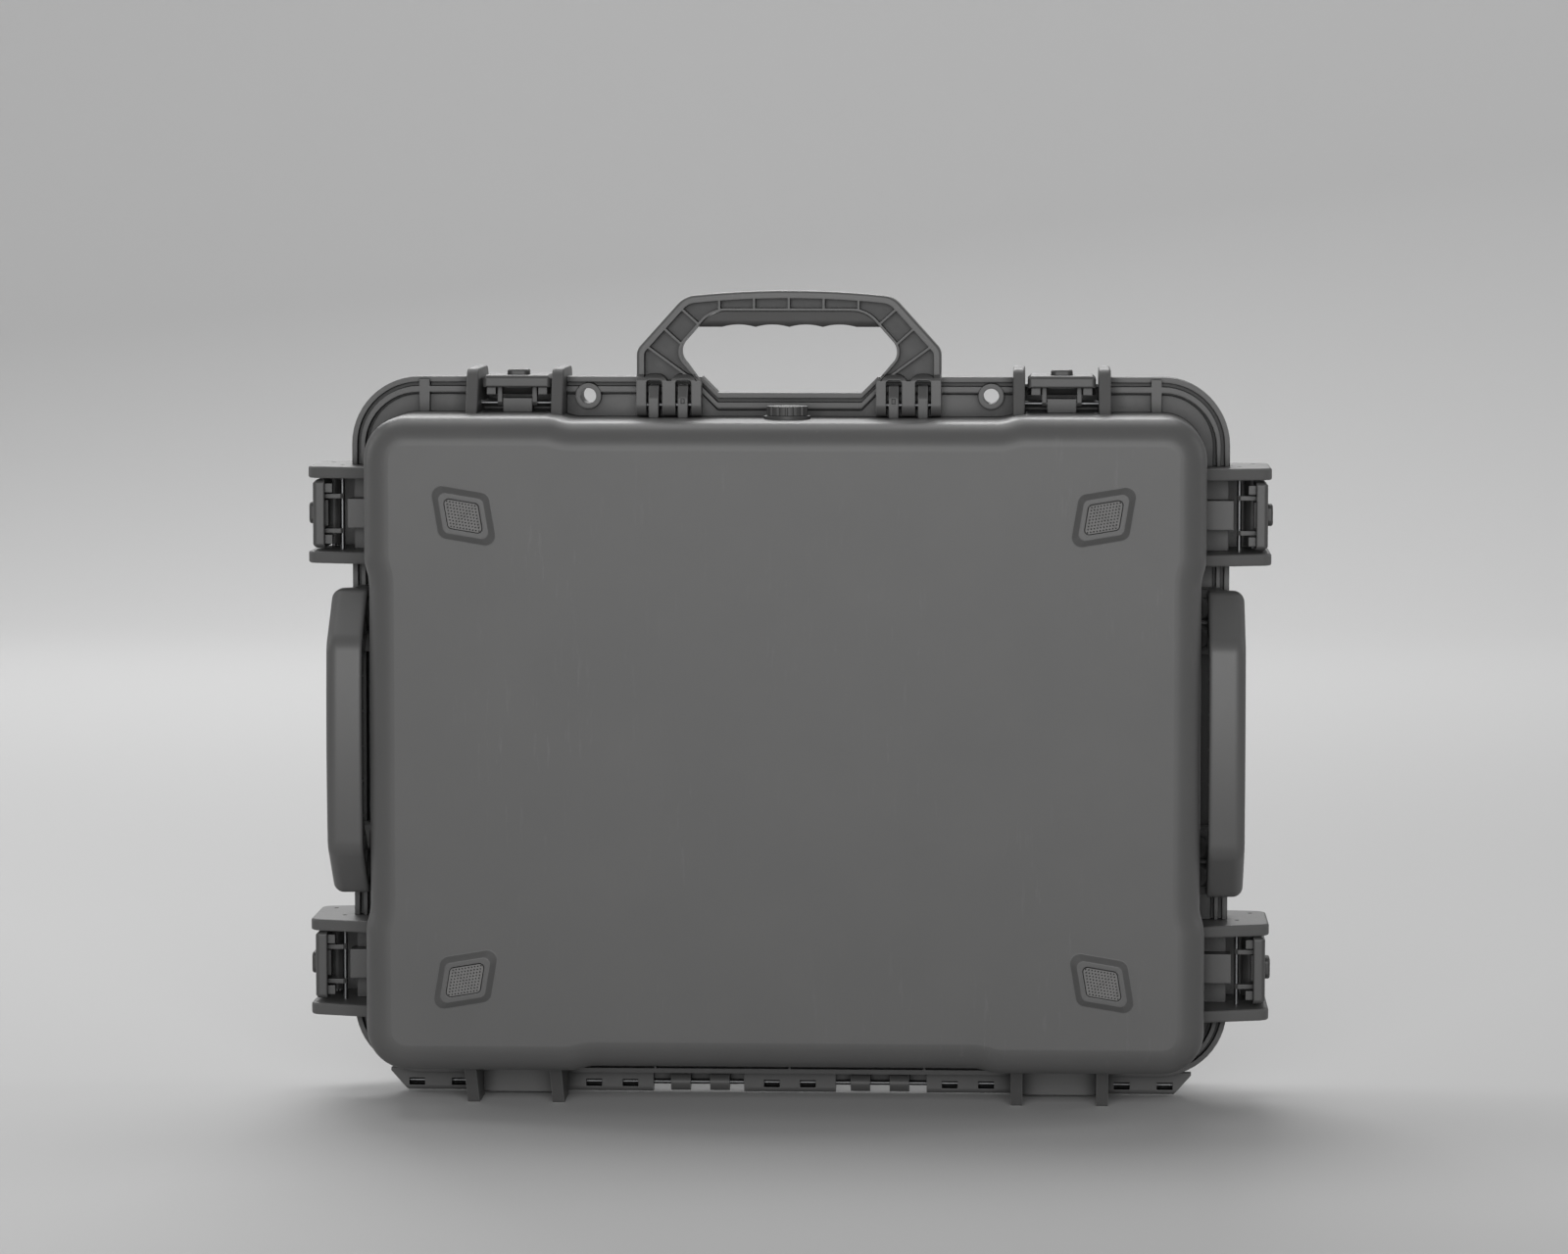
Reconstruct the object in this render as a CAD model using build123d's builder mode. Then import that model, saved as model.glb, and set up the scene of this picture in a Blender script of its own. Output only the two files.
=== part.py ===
from build123d import *
from collections import namedtuple
import os

# Hard protective case for a laptop: ribbed base and lid on one long hinge pin, six push-button
# latches, three folding handles, a pressure valve, corner feet, a gasket and foam.
# Millimetres. The case stands on its hinge side: +Z runs from the hinge to the carrying handle,
# -Y is the underside of the base and +Y the face of the lid.

# ------------------------------------------------------------------ shells
BODY_WIDTH = 517.0          # across the thick corners, along X
BODY_HEIGHT = 404.3         # across the thick corners, along Z
BASE_DEPTH = 106.0          # underside to parting plane
LID_DEPTH = 56.0            # parting plane to lid face
WALL = 4.0
LID_FACE_WALL = 5.0
CORNER_RADIUS = 26.0        # corners of the plan
EDGE_RADIUS = 17.0          # round edge between walls and face
WAIST = 3.0                 # the middle of each wall stands in by this much
WAIST_RAMP = 9.0            # length of the ramp into that recess
WAIST_FRONT = 143.0         # half length of the recess on the handle side
WAIST_HINGE = 129.0
WAIST_SIDE = 112.0
WAIST_BLEND = 27.0          # radius that softens each ramp
PARTING_GAP = 0.3
STAND_DROP = 27.6           # wall on the hinge side down to the surface it stands on
OVER = 1.0                  # cuts and joined blocks run this far past the faces they cross

# ------------------------------------------------------------------ rim, as reaches out of the plan
Reach = namedtuple("Reach", "side front hinge")
PANEL = Reach(6.1, 10.7, 4.7)
SKIRT_INNER = Reach(8.2, 12.2, 6.8)
SKIRT_OUTER = Reach(10.6, 15.8, 9.2)
LIP_INNER = Reach(13.3, 18.5, 11.0)
LIP_OUTER = Reach(16.5, 21.7, 14.0)
BASE_PANEL_DEPTH = 9.0      # how far each step runs back from the parting plane
BASE_SKIRT_DEPTH = 13.0
BASE_LIP_DEPTH = 11.0
LID_PANEL_DEPTH = 8.0
LID_SKIRT_DEPTH = 12.0
LID_LIP_DEPTH = 10.0
RIM_PLATE = 5.0             # solid plate under the skirts
DIP = 10.0                  # the rim dips under the hand
DIP_HALF = 45.0
RIM_WEB_X = 229.0           # webs that tie lip and panel
RIM_WEB = 6.5
HINGE_TIES = (-85.0, 0.0, 85.0)  # thin ties between wall and lip above the hinge
HINGE_TIE = 1.4

# ------------------------------------------------------------------ gasket and its channel
SEAL_REACH = 1.9            # centre line, out of the plan
SEAL_WIDTH = 3.4
SEAL_HEIGHT = 3.0
SEAL_CHANNEL_WIDTH = 4.4
SEAL_CHANNEL_DEPTH = 5.6
SEAL_SETTLE = 0.3           # free space left round soft pieces
TONGUE_WIDTH = 2.0

# ------------------------------------------------------------------ feet
FOOT_SPACING_X = 391.0
FOOT_SPACING_Z = 286.0
FOOT_DROP = 0.8             # their centre lies this much towards the hinge
FOOT_LONG = 36.5
FOOT_SHORT = 33.5
FOOT_LEAN = 9.5             # degrees that the edges turn towards the case's centre
FOOT_CORNER = 6.0
FOOT_RISE = 3.0
FOOT_SLOPE = 4.1
FOOT_PAD_MARGIN = 7.6       # foot edge to pad edge
FOOT_PAD_CORNER = 2.6
FOOT_PAD_THICK = 2.2
FOOT_PAD_PROUD = 0.6
FOOT_PAD_GAP = 0.5
STACK_GAP = 1.5             # space round a foot in the lid's stacking recess

# ------------------------------------------------------------------ hinge
HINGE_Z = 6.6
HINGE_PIN_RADIUS = 1.5
HINGE_BARREL = 5.4
HINGE_FRONT = 7.0           # strip face in front of the axis
HINGE_HALF_TOP = 253.0
HINGE_HALF_BOTTOM = 242.0
HINGE_BAY = (29.0, 86.4)    # open bays in the base's strip
HINGE_KNUCKLES = (44.5, 69.2)
HINGE_KNUCKLE_WIDTH = 12.3
HINGE_WINDOWS = (11.4, 101.0, 124.0, 209.5, 236.5)
HINGE_WINDOW_WIDTH = 10.0
HINGE_WINDOW_HEIGHT = 4.6
HINGE_PIN_HALF = 243.0
HINGE_ROUND = 3.0
HINGE_APRON = 3.0           # lid's strip behind each bay
HINGE_APRON_END = 1.0       # its edge below the axis
STAND_NEAR = (69.0, 25.0)   # upper end of a standing ear's edge: from the parting plane, height
STAND_BASE = 46.0           # lower end of that edge, from the parting plane
STAND_CLEAR = 14.0          # standing ears keep this far from the parting plane
STAND_BLOCK = 18.0          # face of the block between two standing ears
STAND_BLOCK_DROP = 2.5
LID_STAND = (34.0, 42.0, 20.0)   # lid ear: end of its sole and its foot, from the parting plane, height
ROD_INSET = 1.0             # every rod ends this far inside the outer face that holds it
PIN_FIT = 0.05              # running clearance of every pin in the piece that turns on it
PIN_SEAT = 0.02             # clearance of a pin in the piece that holds it

# ------------------------------------------------------------------ latches
LATCH_FRONT_X = 170.0
LATCH_SIDE_Z = (138.2, -146.6)   # from the body's centre
# Of the front latches and of the side latches: the lever's outer face above the thick wall, the
# plate between the ears above that wall, the ears beyond the lever and the keeper block's top.
Latching = namedtuple("Latching", "rise floor proud block")
FRONT_LATCH = Latching(23.05, 0.6, 4.6, 14.6)
SIDE_LATCH = Latching(39.9, 16.0, 2.1, 21.2)
EAR_GAP = 45.8
EAR_THICK = 7.4
EAR_NEAR = 46.0             # base ear, foot of its slanting edge, from the parting plane
EAR_SLANT = 13.0
EAR_ROUND = 8.0
EAR_EDGE = 1.4              # rounding of an ear's long outer edges
EAR_FOOT = WALL             # ears reach this far into the wall that carries them
BAY_FOOT = 0.6              # the rim's ribs are cut away between the ears, down to this height
LID_EAR_FAR = 38.0
LATCH_WEB = 29.0            # wall between a pair of lid ears, behind the lever's swing
LATCH_WEB_THICK = 4.0
LATCH_WEB_TOP = 8.4         # below the lever's outer face
LEVER_WIDTH = 42.5
LEVER_FREE = 26.0           # free end, from the parting plane
LEVER_PIVOT = 20.0          # pivot beyond the parting plane
LEVER_PIVOT_DEPTH = 8.0     # pivot below the lever's outer face
LEVER_EDGE = 7.4
LEVER_PLATE = 5.0
LEVER_WALL = 3.0
LEVER_BARREL = 5.4
LEVER_BEVEL = 2.2
LEVER_CORNER = 2.6          # rounding of the free end, seen on its face
LEVER_ROUNDS = (1.0, 2.5, 4.0)   # corners of its section: free end, free edge, above the pivot
LATCH_PIN_RADIUS = 1.5
KEEPER = 14.0               # keeper rod, from the parting plane
KEEPER_DEPTH = 17.5
KEEPER_BLOCK = 18.2
CLAW_INNER = 9.5
CLAW_OUTER = 12.3
CLAW_GAP = 0.3
CLAW_BACK = 5.0             # thickness of a claw behind its catching face
CLAW_NOSE = 2.0             # slope at its tip
CLAW_THROAT = 4.0           # room round the keeper rod
LEVER_RIB = (13.3, 18.9)    # two stiffening ribs under the free end
LEVER_RIB_DEPTH = 12.0
LEVER_RIB_LONG = 6.0
BUTTON_SEAT = 8.0           # centre of the button, from the parting plane
BUTTON_WIDTH = 13.6
BUTTON_LENGTH = 16.0
BUTTON_CORNER = 4.0         # of the recess round the button
BUTTON_EDGE = 1.4
BUTTON_PROUD = 3.4
BUTTON_SUNK = 1.2
BUTTON_GAP = 0.35
BUTTON_RECESS = 3.4
BUTTON_STEM = (6.0, 8.0)
BUTTON_FOOT = (16.0, 12.0)
BUTTON_FOOT_TOP = 5.3
BUTTON_FOOT_THICK = 3.0
BUTTON_SPRING = 0.3         # thickness of the leaf spring
BUTTON_SPRING_INSET = 1.1

# ------------------------------------------------------------------ handles
HANDLE_DEPTH = 85.0         # pivot axis, from the base's underside
HANDLE_RISE = 7.6           # pivot axis above the recessed wall
HANDLE_SIDE_Z = -1.8        # side handles, from the body's centre
HANDLE_ARM = 74.7           # centre of each arm
HANDLE_ARM_WIDTH = 40.5
HANDLE_BARREL = 7.0
HANDLE_REACH = 71.2
HANDLE_CROWN = 67.6         # where the gentle arch of the top begins
HANDLE_CROWN_HALF = 65.0
HANDLE_SHOULDER = 34.4
HANDLE_CORNERS = (16.0, 9.0)   # outline's rounding at the crown's ends and at the shoulders
HANDLE_FRONT = 2.4          # pocketed face, from the axis
HANDLE_BACK = 20.0          # smooth face, from the axis
HANDLE_OPEN_LOW = (14.6, 5.0)   # opening's lowest corners, on the arms: height, rounding
HANDLE_OPEN_MID = (70.5, 33.3, 9.5)   # the others: half width, height, rounding
HANDLE_OPEN_TOP = (48.0, 58.8, 20.0)
HANDLE_BACK_EDGE = 6.5      # rounding of the smooth side's outer edge
HANDLE_FACE_EDGE = 1.6      # rounding of the pocketed side's outer edge
HANDLE_NOSE = (17.5, 20.5, 16.5)   # arm's section past the axis: smooth side, middle, pocketed side
HANDLE_NOSE_ROUNDS = (3.0, 1.0, 3.0)
HANDLE_BACK_SLOPE = 9.0     # slope from the arm's smooth side up to the full thickness
HANDLE_BACK_ROUND = 5.0
GRIP_LOW = 48.5
GRIP_INSET = 3.6            # grip's front behind the pocketed face
GRIP_SCALLOPS = 4
GRIP_SCALLOP_PITCH = 21.0
GRIP_SCALLOP_DEPTH = 1.6
GRIP_SETTLE = 0.3
GRIP_BACK = 1.0             # grip's back in front of the smooth side
GRIP_EDGE = 4.5
HANDLE_RIM = 4.6
HANDLE_LINING = 1.5         # rib along the opening
HANDLE_RIB = 1.4
HANDLE_RIB_PITCH = 21.7
HANDLE_POCKET = 9.0
HANDLE_POCKET_LOW = 15.2    # the pockets dip to this height between the two slots of an arm
HANDLE_SLOT_RIM = (3.2, 6.5)   # rim round each slot, and the rounding of its outline
HANDLE_ARM_RIBS = ((63.0, 56.3, 42), (74.5, 44.6, 42), (76.6, 27.8, 36))  # place and lean
HANDLE_SLOT = 10.0
HANDLE_SLOT_TOP = 16.0
HANDLE_SLOT_ROUND = 2.4
HANDLE_LUG_OFFSET = 9.1
HANDLE_LUG = 6.0
LUG_TO_FACE = 13.5          # lug's outline round the pivot
LUG_TO_LID = 9.0
LUG_TOP = 12.5
LUG_BEVEL = (6.0, 7.5)      # across and down
LUG_ROUNDS = (3.0, 4.0)
LUG_MARK = (2.4, 3.4, 0.8)  # shallow window in each inner lug: width, height, depth
LUG_MARK_RISE = 2.9         # its middle above the axis
HANDLE_PIN_RADIUS = 2.0
HANDLE_CLEAR = 0.9
HANDLE_BAY_GAP = 1.2        # bay in the rim beyond each side of an arm

# ------------------------------------------------------------------ padlock rings
PADLOCK_X = 126.0
PADLOCK_RISE = 9.8          # hole centre above the thick wall
PADLOCK_RADIUS = 4.9
PADLOCK_RING = 8.0
PADLOCK_DEPTH = 14.0

# ------------------------------------------------------------------ pressure valve
VALVE_DEPTH = 61.0          # from the base's underside
VALVE_KNOB_RADIUS = 12.75
VALVE_KNOB_TOP = 8.0
VALVE_FLANGE_EDGE = 2.5     # flange beyond the seal's groove
VALVE_FLANGE = 2.0
VALVE_HUB_RADIUS = 8.0
VALVE_HUB_WALL = 1.6        # hub outside its chamber
VALVE_GROOVE_INSET = 1.0    # from the hub to the seal's groove under the flange
VALVE_GROOVE_WIDTH = 3.0
VALVE_GROOVE_DEPTH = 1.1
VALVE_NUT_WALL = 3.0        # nut beyond the hub, at its corners
VALVE_NUT = 3.5
VALVE_HUB_PROUD = 1.0
VALVE_NOTCHES = 16          # grip notches round the knob
VALVE_NOTCH_RADIUS = 1.3
VALVE_COIN_SLOT = (20.4, 2.4, 1.6)
VALVE_POST_RADIUS = 2.5
VALVE_VENT_RADIUS = 0.9
VALVE_VENT_CIRCLE = 4.5
VALVE_MEMBRANE = 0.4

# ------------------------------------------------------------------ foam and the pocket
FOAM_CLEAR = 0.5
BASE_PAD = 10.0
LAPTOP_WIDTH = 400.0
LAPTOP_HEIGHT = 290.0
LAPTOP_CORNER = 6.0
POCKET_DEPTH = 50.0
THUMB_WIDTH = 70.0
THUMB_REACH = 22.0
THUMB_DEPTH = 30.0
LID_FOAM = 34.0
FOAM_ROOM = 2.0             # free space round the valve's nut
FOAM_EDGE = 14.0

# ------------------------------------------------------------------ places worked out from the sizes
TO_LID = (0, 1, 0)
DEPTH = FOOT_PAD_PROUD + FOOT_RISE + BASE_DEPTH + LID_DEPTH
Y_FACE = FOOT_PAD_PROUD + FOOT_RISE - DEPTH / 2
Y_PART = Y_FACE + BASE_DEPTH
Y_BASE_RIM = Y_PART - PARTING_GAP / 2
Y_LID_RIM = Y_PART + PARTING_GAP / 2
Y_LID_FACE = Y_PART + LID_DEPTH
CENTRE_Z = STAND_DROP + BODY_HEIGHT / 2
HALF_WIDTH = BODY_WIDTH / 2
HALF_HEIGHT = BODY_HEIGHT / 2
CAVITY_WIDTH = BODY_WIDTH - 2 * (WAIST + WALL)
CAVITY_HEIGHT = BODY_HEIGHT - 2 * (WAIST + WALL)
CAVITY_CORNER = CORNER_RADIUS - WALL
CAVITY_EDGE = EDGE_RADIUS - WALL
LID_CAVITY_EDGE = EDGE_RADIUS - LID_FACE_WALL
HINGE_TOP = STAND_DROP - LIP_OUTER.hinge
PIVOT_Y = Y_FACE + HANDLE_DEPTH
PIVOT_FRONT_Z = CENTRE_Z + HALF_HEIGHT - WAIST + HANDLE_RISE
PIVOT_SIDE_X = HALF_WIDTH - WAIST + HANDLE_RISE
EAR_OUTER = EAR_GAP / 2 + EAR_THICK
ARM_OUTER = HANDLE_ARM + HANDLE_ARM_WIDTH / 2
ARM_INNER = HANDLE_ARM - HANDLE_ARM_WIDTH / 2
VALVE_CHAMBER_RADIUS = VALVE_HUB_RADIUS - VALVE_HUB_WALL
VALVE_GROOVE_START = VALVE_HUB_RADIUS + VALVE_GROOVE_INSET
VALVE_GROOVE_END = VALVE_GROOVE_START + VALVE_GROOVE_WIDTH
VALVE_FLANGE_RADIUS = VALVE_GROOVE_END + VALVE_FLANGE_EDGE
VALVE_NUT_RADIUS = VALVE_HUB_RADIUS + VALVE_NUT_WALL
SIDES = (-1, 1)


def face_plane(y, z=CENTRE_Z):
    """Plane across the case at this Y, seen as from the underside: x is X and y is Z."""
    return Plane(origin=(0, y, z), x_dir=(1, 0, 0), z_dir=(0, -1, 0))


def wall_plane(origin, outward):
    """Plane on a wall: y runs to the lid and z is the wall's outward direction."""
    along = Vector(*TO_LID).cross(Vector(*outward))
    return Plane(origin=origin, x_dir=along, z_dir=outward)


def across(plane, offset):
    """Plane square to a wall plane's x: its x runs to the lid and its y outward."""
    origin = plane.from_local_coords(Vector(offset, 0, 0))
    return Plane(origin=origin, x_dir=plane.y_dir, z_dir=plane.x_dir)


Latch = namedtuple("Latch", "plane size")
LATCHES = {}
for side, name in zip(SIDES, ("left", "right")):
    front_z = CENTRE_Z + HALF_HEIGHT + FRONT_LATCH.rise
    front = wall_plane((side * LATCH_FRONT_X, Y_PART, front_z), (0, 0, 1))
    LATCHES["front_" + name] = Latch(front, FRONT_LATCH)
    side_x = side * (HALF_WIDTH + SIDE_LATCH.rise)
    for level, height in zip(("upper", "lower"), LATCH_SIDE_Z):
        wall = wall_plane((side_x, Y_PART, CENTRE_Z + height), (side, 0, 0))
        LATCHES[name + "_" + level] = Latch(wall, SIDE_LATCH)

# Frame of each handle: x along its axis, y to its grip, z to its pocketed face
FRONT_PIVOT = (0, PIVOT_Y, PIVOT_FRONT_Z)
LEFT_PIVOT = (-PIVOT_SIDE_X, PIVOT_Y, CENTRE_Z + HANDLE_SIDE_Z)
RIGHT_PIVOT = (PIVOT_SIDE_X, PIVOT_Y, CENTRE_Z + HANDLE_SIDE_Z)
HANDLES = {
    "front": Plane(origin=FRONT_PIVOT, x_dir=(1, 0, 0), z_dir=(0, -1, 0)),
    "left": Plane(origin=LEFT_PIVOT, x_dir=(0, 0, 1), z_dir=(1, 0, 0)),
    "right": Plane(origin=RIGHT_PIVOT, x_dir=(0, 0, -1), z_dir=(-1, 0, 0)),
}
PIVOTS = {
    "front": wall_plane(FRONT_PIVOT, (0, 0, 1)),
    "left": wall_plane(LEFT_PIVOT, (-1, 0, 0)),
    "right": wall_plane(RIGHT_PIVOT, (1, 0, 0)),
}
STANDS = [wall_plane((side * LATCH_FRONT_X, Y_PART, 0), (0, 0, -1)) for side in SIDES]
VALVE = wall_plane((0, Y_FACE + VALVE_DEPTH, CENTRE_Z + HALF_HEIGHT - WAIST), (0, 0, 1))
FEET = [
    (sx * FOOT_SPACING_X / 2, sz * FOOT_SPACING_Z / 2 - FOOT_DROP, sx * sz)
    for sx in SIDES
    for sz in SIDES
]


# ------------------------------------------------------------------ plans
def waisted_plan(y):
    """Plan of the shells: thick corners and four recessed middle stretches."""
    w, h, ramp, step = HALF_WIDTH, HALF_HEIGHT, WAIST_RAMP, WAIST
    points = []
    radii = []
    for half, level, turn in (
        (WAIST_SIDE, w, lambda a, b: (a, b)),
        (WAIST_FRONT, h, lambda a, b: (-b, a)),
        (WAIST_SIDE, w, lambda a, b: (-a, -b)),
        (WAIST_HINGE, h, lambda a, b: (b, -a)),
    ):
        points += [
            turn(level, -half),
            turn(level - step, ramp - half),
            turn(level - step, half - ramp),
            turn(level, half),
        ]
        radii += [WAIST_BLEND] * 4
        corner = (w, h) if turn(1, 0)[0] else (h, w)
        points.append(turn(*corner))
        radii.append(CORNER_RADIUS)
    with BuildSketch(face_plane(y)) as plan:
        with BuildLine():
            FilletPolyline(*points, radius=radii, close=True)
        make_face()
    return plan.sketch


def rim_plan(y, reach):
    """Plan of one step of the rim, dipped under the carrying handle."""
    side = HALF_WIDTH + reach.side
    front = HALF_HEIGHT + reach.front
    hinge = HALF_HEIGHT + reach.hinge
    corner = CORNER_RADIUS + reach.side
    low = DIP_HALF + DIP
    dip = [(low, front), (DIP_HALF, front - DIP), (-DIP_HALF, front - DIP), (-low, front)]
    points = [(-side, -hinge), (side, -hinge), (side, front)] + dip + [(-side, front)]
    radii = [corner] * 3 + [0] * len(dip) + [corner]
    with BuildSketch(face_plane(y)) as plan:
        with BuildLine():
            FilletPolyline(*points, radius=radii, close=True)
        make_face()
    return plan.sketch


def seal_ring(y, width):
    """Plan of a ring on the gasket's line."""
    with BuildSketch(face_plane(y)) as plan:
        for side, mode in ((1, Mode.ADD), (-1, Mode.SUBTRACT)):
            grow = SEAL_REACH + side * width / 2
            w, h = BODY_WIDTH + 2 * grow, BODY_HEIGHT + 2 * grow
            RectangleRounded(w, h, CORNER_RADIUS + grow, mode=mode)
    return plan.sketch


def foot_plan(y, at, inset, corner):
    """Leaning rhombus whose long diagonal points to the middle of the case."""
    x, z, lean = at
    c = FOOT_LEAN * lean
    long_side, short_side = FOOT_LONG - 2 * inset, FOOT_SHORT - 2 * inset
    along = Vector(1, 0).rotate(Axis.Z, c) * (long_side / 2)
    up = Vector(0, 1).rotate(Axis.Z, -c) * (short_side / 2)
    middle = Vector(x, z)
    points = [middle + along * a + up * b for a, b in ((-1, -1), (1, -1), (1, 1), (-1, 1))]
    with BuildSketch(face_plane(y)) as plan:
        with BuildLine():
            FilletPolyline(*points, radius=corner, close=True)
        make_face()
    return plan.sketch


# ------------------------------------------------------------------ forms that base and lid share
def outer_form(y_face, y_rim):
    """One half of the case as a solid block with a rounded face edge."""
    towards = 1 if y_rim > y_face else -1
    with BuildPart() as form:
        extrude(waisted_plan(y_face), amount=abs(y_rim - y_face), dir=(0, towards, 0))
        rear = form.faces().sort_by(Axis.Y)[0 if towards > 0 else -1]
        fillet(rear.edges(), EDGE_RADIUS)
    return form.part


def cavity_form(y_floor, y_rim, edge):
    """Inside of one half."""
    towards = 1 if y_rim > y_floor else -1
    with BuildPart() as form:
        with BuildSketch(face_plane(y_floor)):
            RectangleRounded(CAVITY_WIDTH, CAVITY_HEIGHT, CAVITY_CORNER)
        extrude(amount=abs(y_rim - y_floor), dir=(0, towards, 0))
        rear = form.faces().sort_by(Axis.Y)[0 if towards > 0 else -1]
        fillet(rear.edges(), edge)
    return form.part


def rim_form(y_rim, towards, panel, skirt, lip):
    """Stepped rim: plate, outer lip, inner skirt and panel, all run back from the parting plane."""
    back = (0, -towards, 0)
    y_plate = y_rim - towards * RIM_PLATE
    with BuildPart() as rim:
        extrude(rim_plan(y_rim, LIP_OUTER), amount=lip, dir=back)
        extrude(rim_plan(y_plate, LIP_INNER), amount=lip, dir=back, mode=Mode.SUBTRACT)
        extrude(rim_plan(y_rim, SKIRT_OUTER), amount=skirt, dir=back)
        extrude(rim_plan(y_plate, SKIRT_INNER), amount=skirt, dir=back, mode=Mode.SUBTRACT)
        extrude(rim_plan(y_rim, PANEL), amount=panel, dir=back)
        for sign in SIDES:
            height = LIP_OUTER.front - WAIST / 2
            z = CENTRE_Z + HALF_HEIGHT + height / 2
            with Locations((sign * RIM_WEB_X, y_rim - towards * skirt / 2, z)):
                Box(RIM_WEB, skirt, height)
    return rim.part


def ear_pair(plane, points, radii, soft_above=None):
    """Two ears of one outline; edges above a height of the plane can be softened."""
    with BuildPart() as ears:
        for start in (-EAR_OUTER, EAR_GAP / 2):
            with BuildSketch(across(plane, start)):
                with BuildLine():
                    FilletPolyline(*points, radius=radii, close=True)
                make_face()
            extrude(amount=EAR_THICK)
        if soft_above is not None:
            outward = plane.z_dir
            level = Vector(plane.origin).dot(outward) + soft_above
            long_edges = [
                edge
                for edge in ears.edges()
                if abs((edge @ 0 - edge @ 1).dot(plane.x_dir)) < EAR_THICK / 2
                and (edge @ 0.5).dot(outward) > level
                and min((edge @ 0).dot(outward), (edge @ 1).dot(outward)) > level - EAR_NEAR
                and abs((edge @ 0.5).dot(plane.y_dir) - Y_PART) > PARTING_GAP
            ]
            fillet(long_edges, EAR_EDGE)
    return ears.part


def slab(plane, half, low, high):
    """Block between two corners of a wall plane's section, this far to both sides of it."""
    with BuildPart() as block:
        with BuildSketch(across(plane, -half)):
            with Locations(((low[0] + high[0]) / 2, (low[1] + high[1]) / 2)):
                Rectangle(high[0] - low[0], high[1] - low[1])
        extrude(amount=2 * half)
    return block.part


def rod(plane, at, radius, half):
    """Round bar along a wall plane's x, centred at a point of its section."""
    with BuildPart() as bar:
        with BuildSketch(across(plane, -half)):
            with Locations(at):
                Circle(radius)
        extrude(amount=2 * half)
    return bar.part


def padlock_ring(y_rim, towards, mode):
    """Collar of the two padlock holes, or the holes themselves."""
    radius = PADLOCK_RING if mode == Mode.ADD else PADLOCK_RADIUS
    with BuildPart() as rings:
        with BuildSketch(face_plane(y_rim, CENTRE_Z + HALF_HEIGHT + PADLOCK_RISE)):
            with GridLocations(2 * PADLOCK_X, 1, 2, 1):
                Circle(radius)
        extrude(amount=PADLOCK_DEPTH, dir=(0, -towards, 0))
    return rings.part


# ------------------------------------------------------------------ base shell
def base_ear_points(size):
    foot = -size.rise - EAR_FOOT
    end = -PARTING_GAP / 2
    slant = [(EAR_SLANT - EAR_NEAR, size.proud), (-EAR_NEAR, -size.rise)]
    return [(-EAR_NEAR, foot), (end, foot), (end, size.proud)] + slant


def lid_ear_points(size):
    foot = -size.rise - EAR_FOOT
    start = PARTING_GAP / 2
    far = LID_EAR_FAR
    slant = [(far, -size.rise), (far - EAR_SLANT / 2, size.proud)]
    return [(start, foot), (far, foot)] + slant + [(start, size.proud)]


def keeper_block(latch):
    """Block under or round the keeper rod, from the wall up and back to the rim's plate."""
    half = KEEPER_DEPTH - FRONT_LATCH.block + LATCH_PIN_RADIUS
    low = (-KEEPER - half, -latch.size.rise - WAIST / 2)
    high = (-RIM_PLATE / 2, -latch.size.block)
    return slab(latch.plane, KEEPER_BLOCK / 2, low, high)


def handle_arms(sign, plane):
    """Middle of one arm on a handle's wall plane."""
    return Plane(
        origin=plane.from_local_coords(Vector(sign * HANDLE_ARM, 0, 0)),
        x_dir=plane.x_dir,
        z_dir=plane.z_dir,
    )


def handle_lugs(arm):
    """Two lugs that carry one arm's pin."""
    foot = -HANDLE_RISE - WALL / 2
    back, rear, top = LUG_TO_FACE, LUG_TO_LID, LUG_TOP
    across_bevel, down_bevel = LUG_BEVEL
    bevel = [(across_bevel - back, top), (-back, top - down_bevel)]
    points = [(-back, foot), (rear, foot), (rear, top)] + bevel
    with BuildPart() as lugs:
        for offset in (-HANDLE_LUG_OFFSET, HANDLE_LUG_OFFSET):
            with BuildSketch(across(arm, offset - HANDLE_LUG / 2)):
                with BuildLine():
                    FilletPolyline(*points, radius=[0, 0, 0, *LUG_ROUNDS], close=True)
                make_face()
            extrude(amount=HANDLE_LUG)
    return lugs.part


def lug_mark(sign, arm):
    """Window in the face of one arm's inner lug."""
    width, height, depth = LUG_MARK
    inner = Plane(
        origin=arm.from_local_coords(Vector(-sign * HANDLE_LUG_OFFSET, 0, 0)),
        x_dir=arm.x_dir,
        z_dir=arm.z_dir,
    )
    low = (-LUG_TO_FACE - OVER, LUG_MARK_RISE - height / 2)
    high = (depth - LUG_TO_FACE, LUG_MARK_RISE + height / 2)
    return slab(inner, width / 2, low, high)


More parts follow.
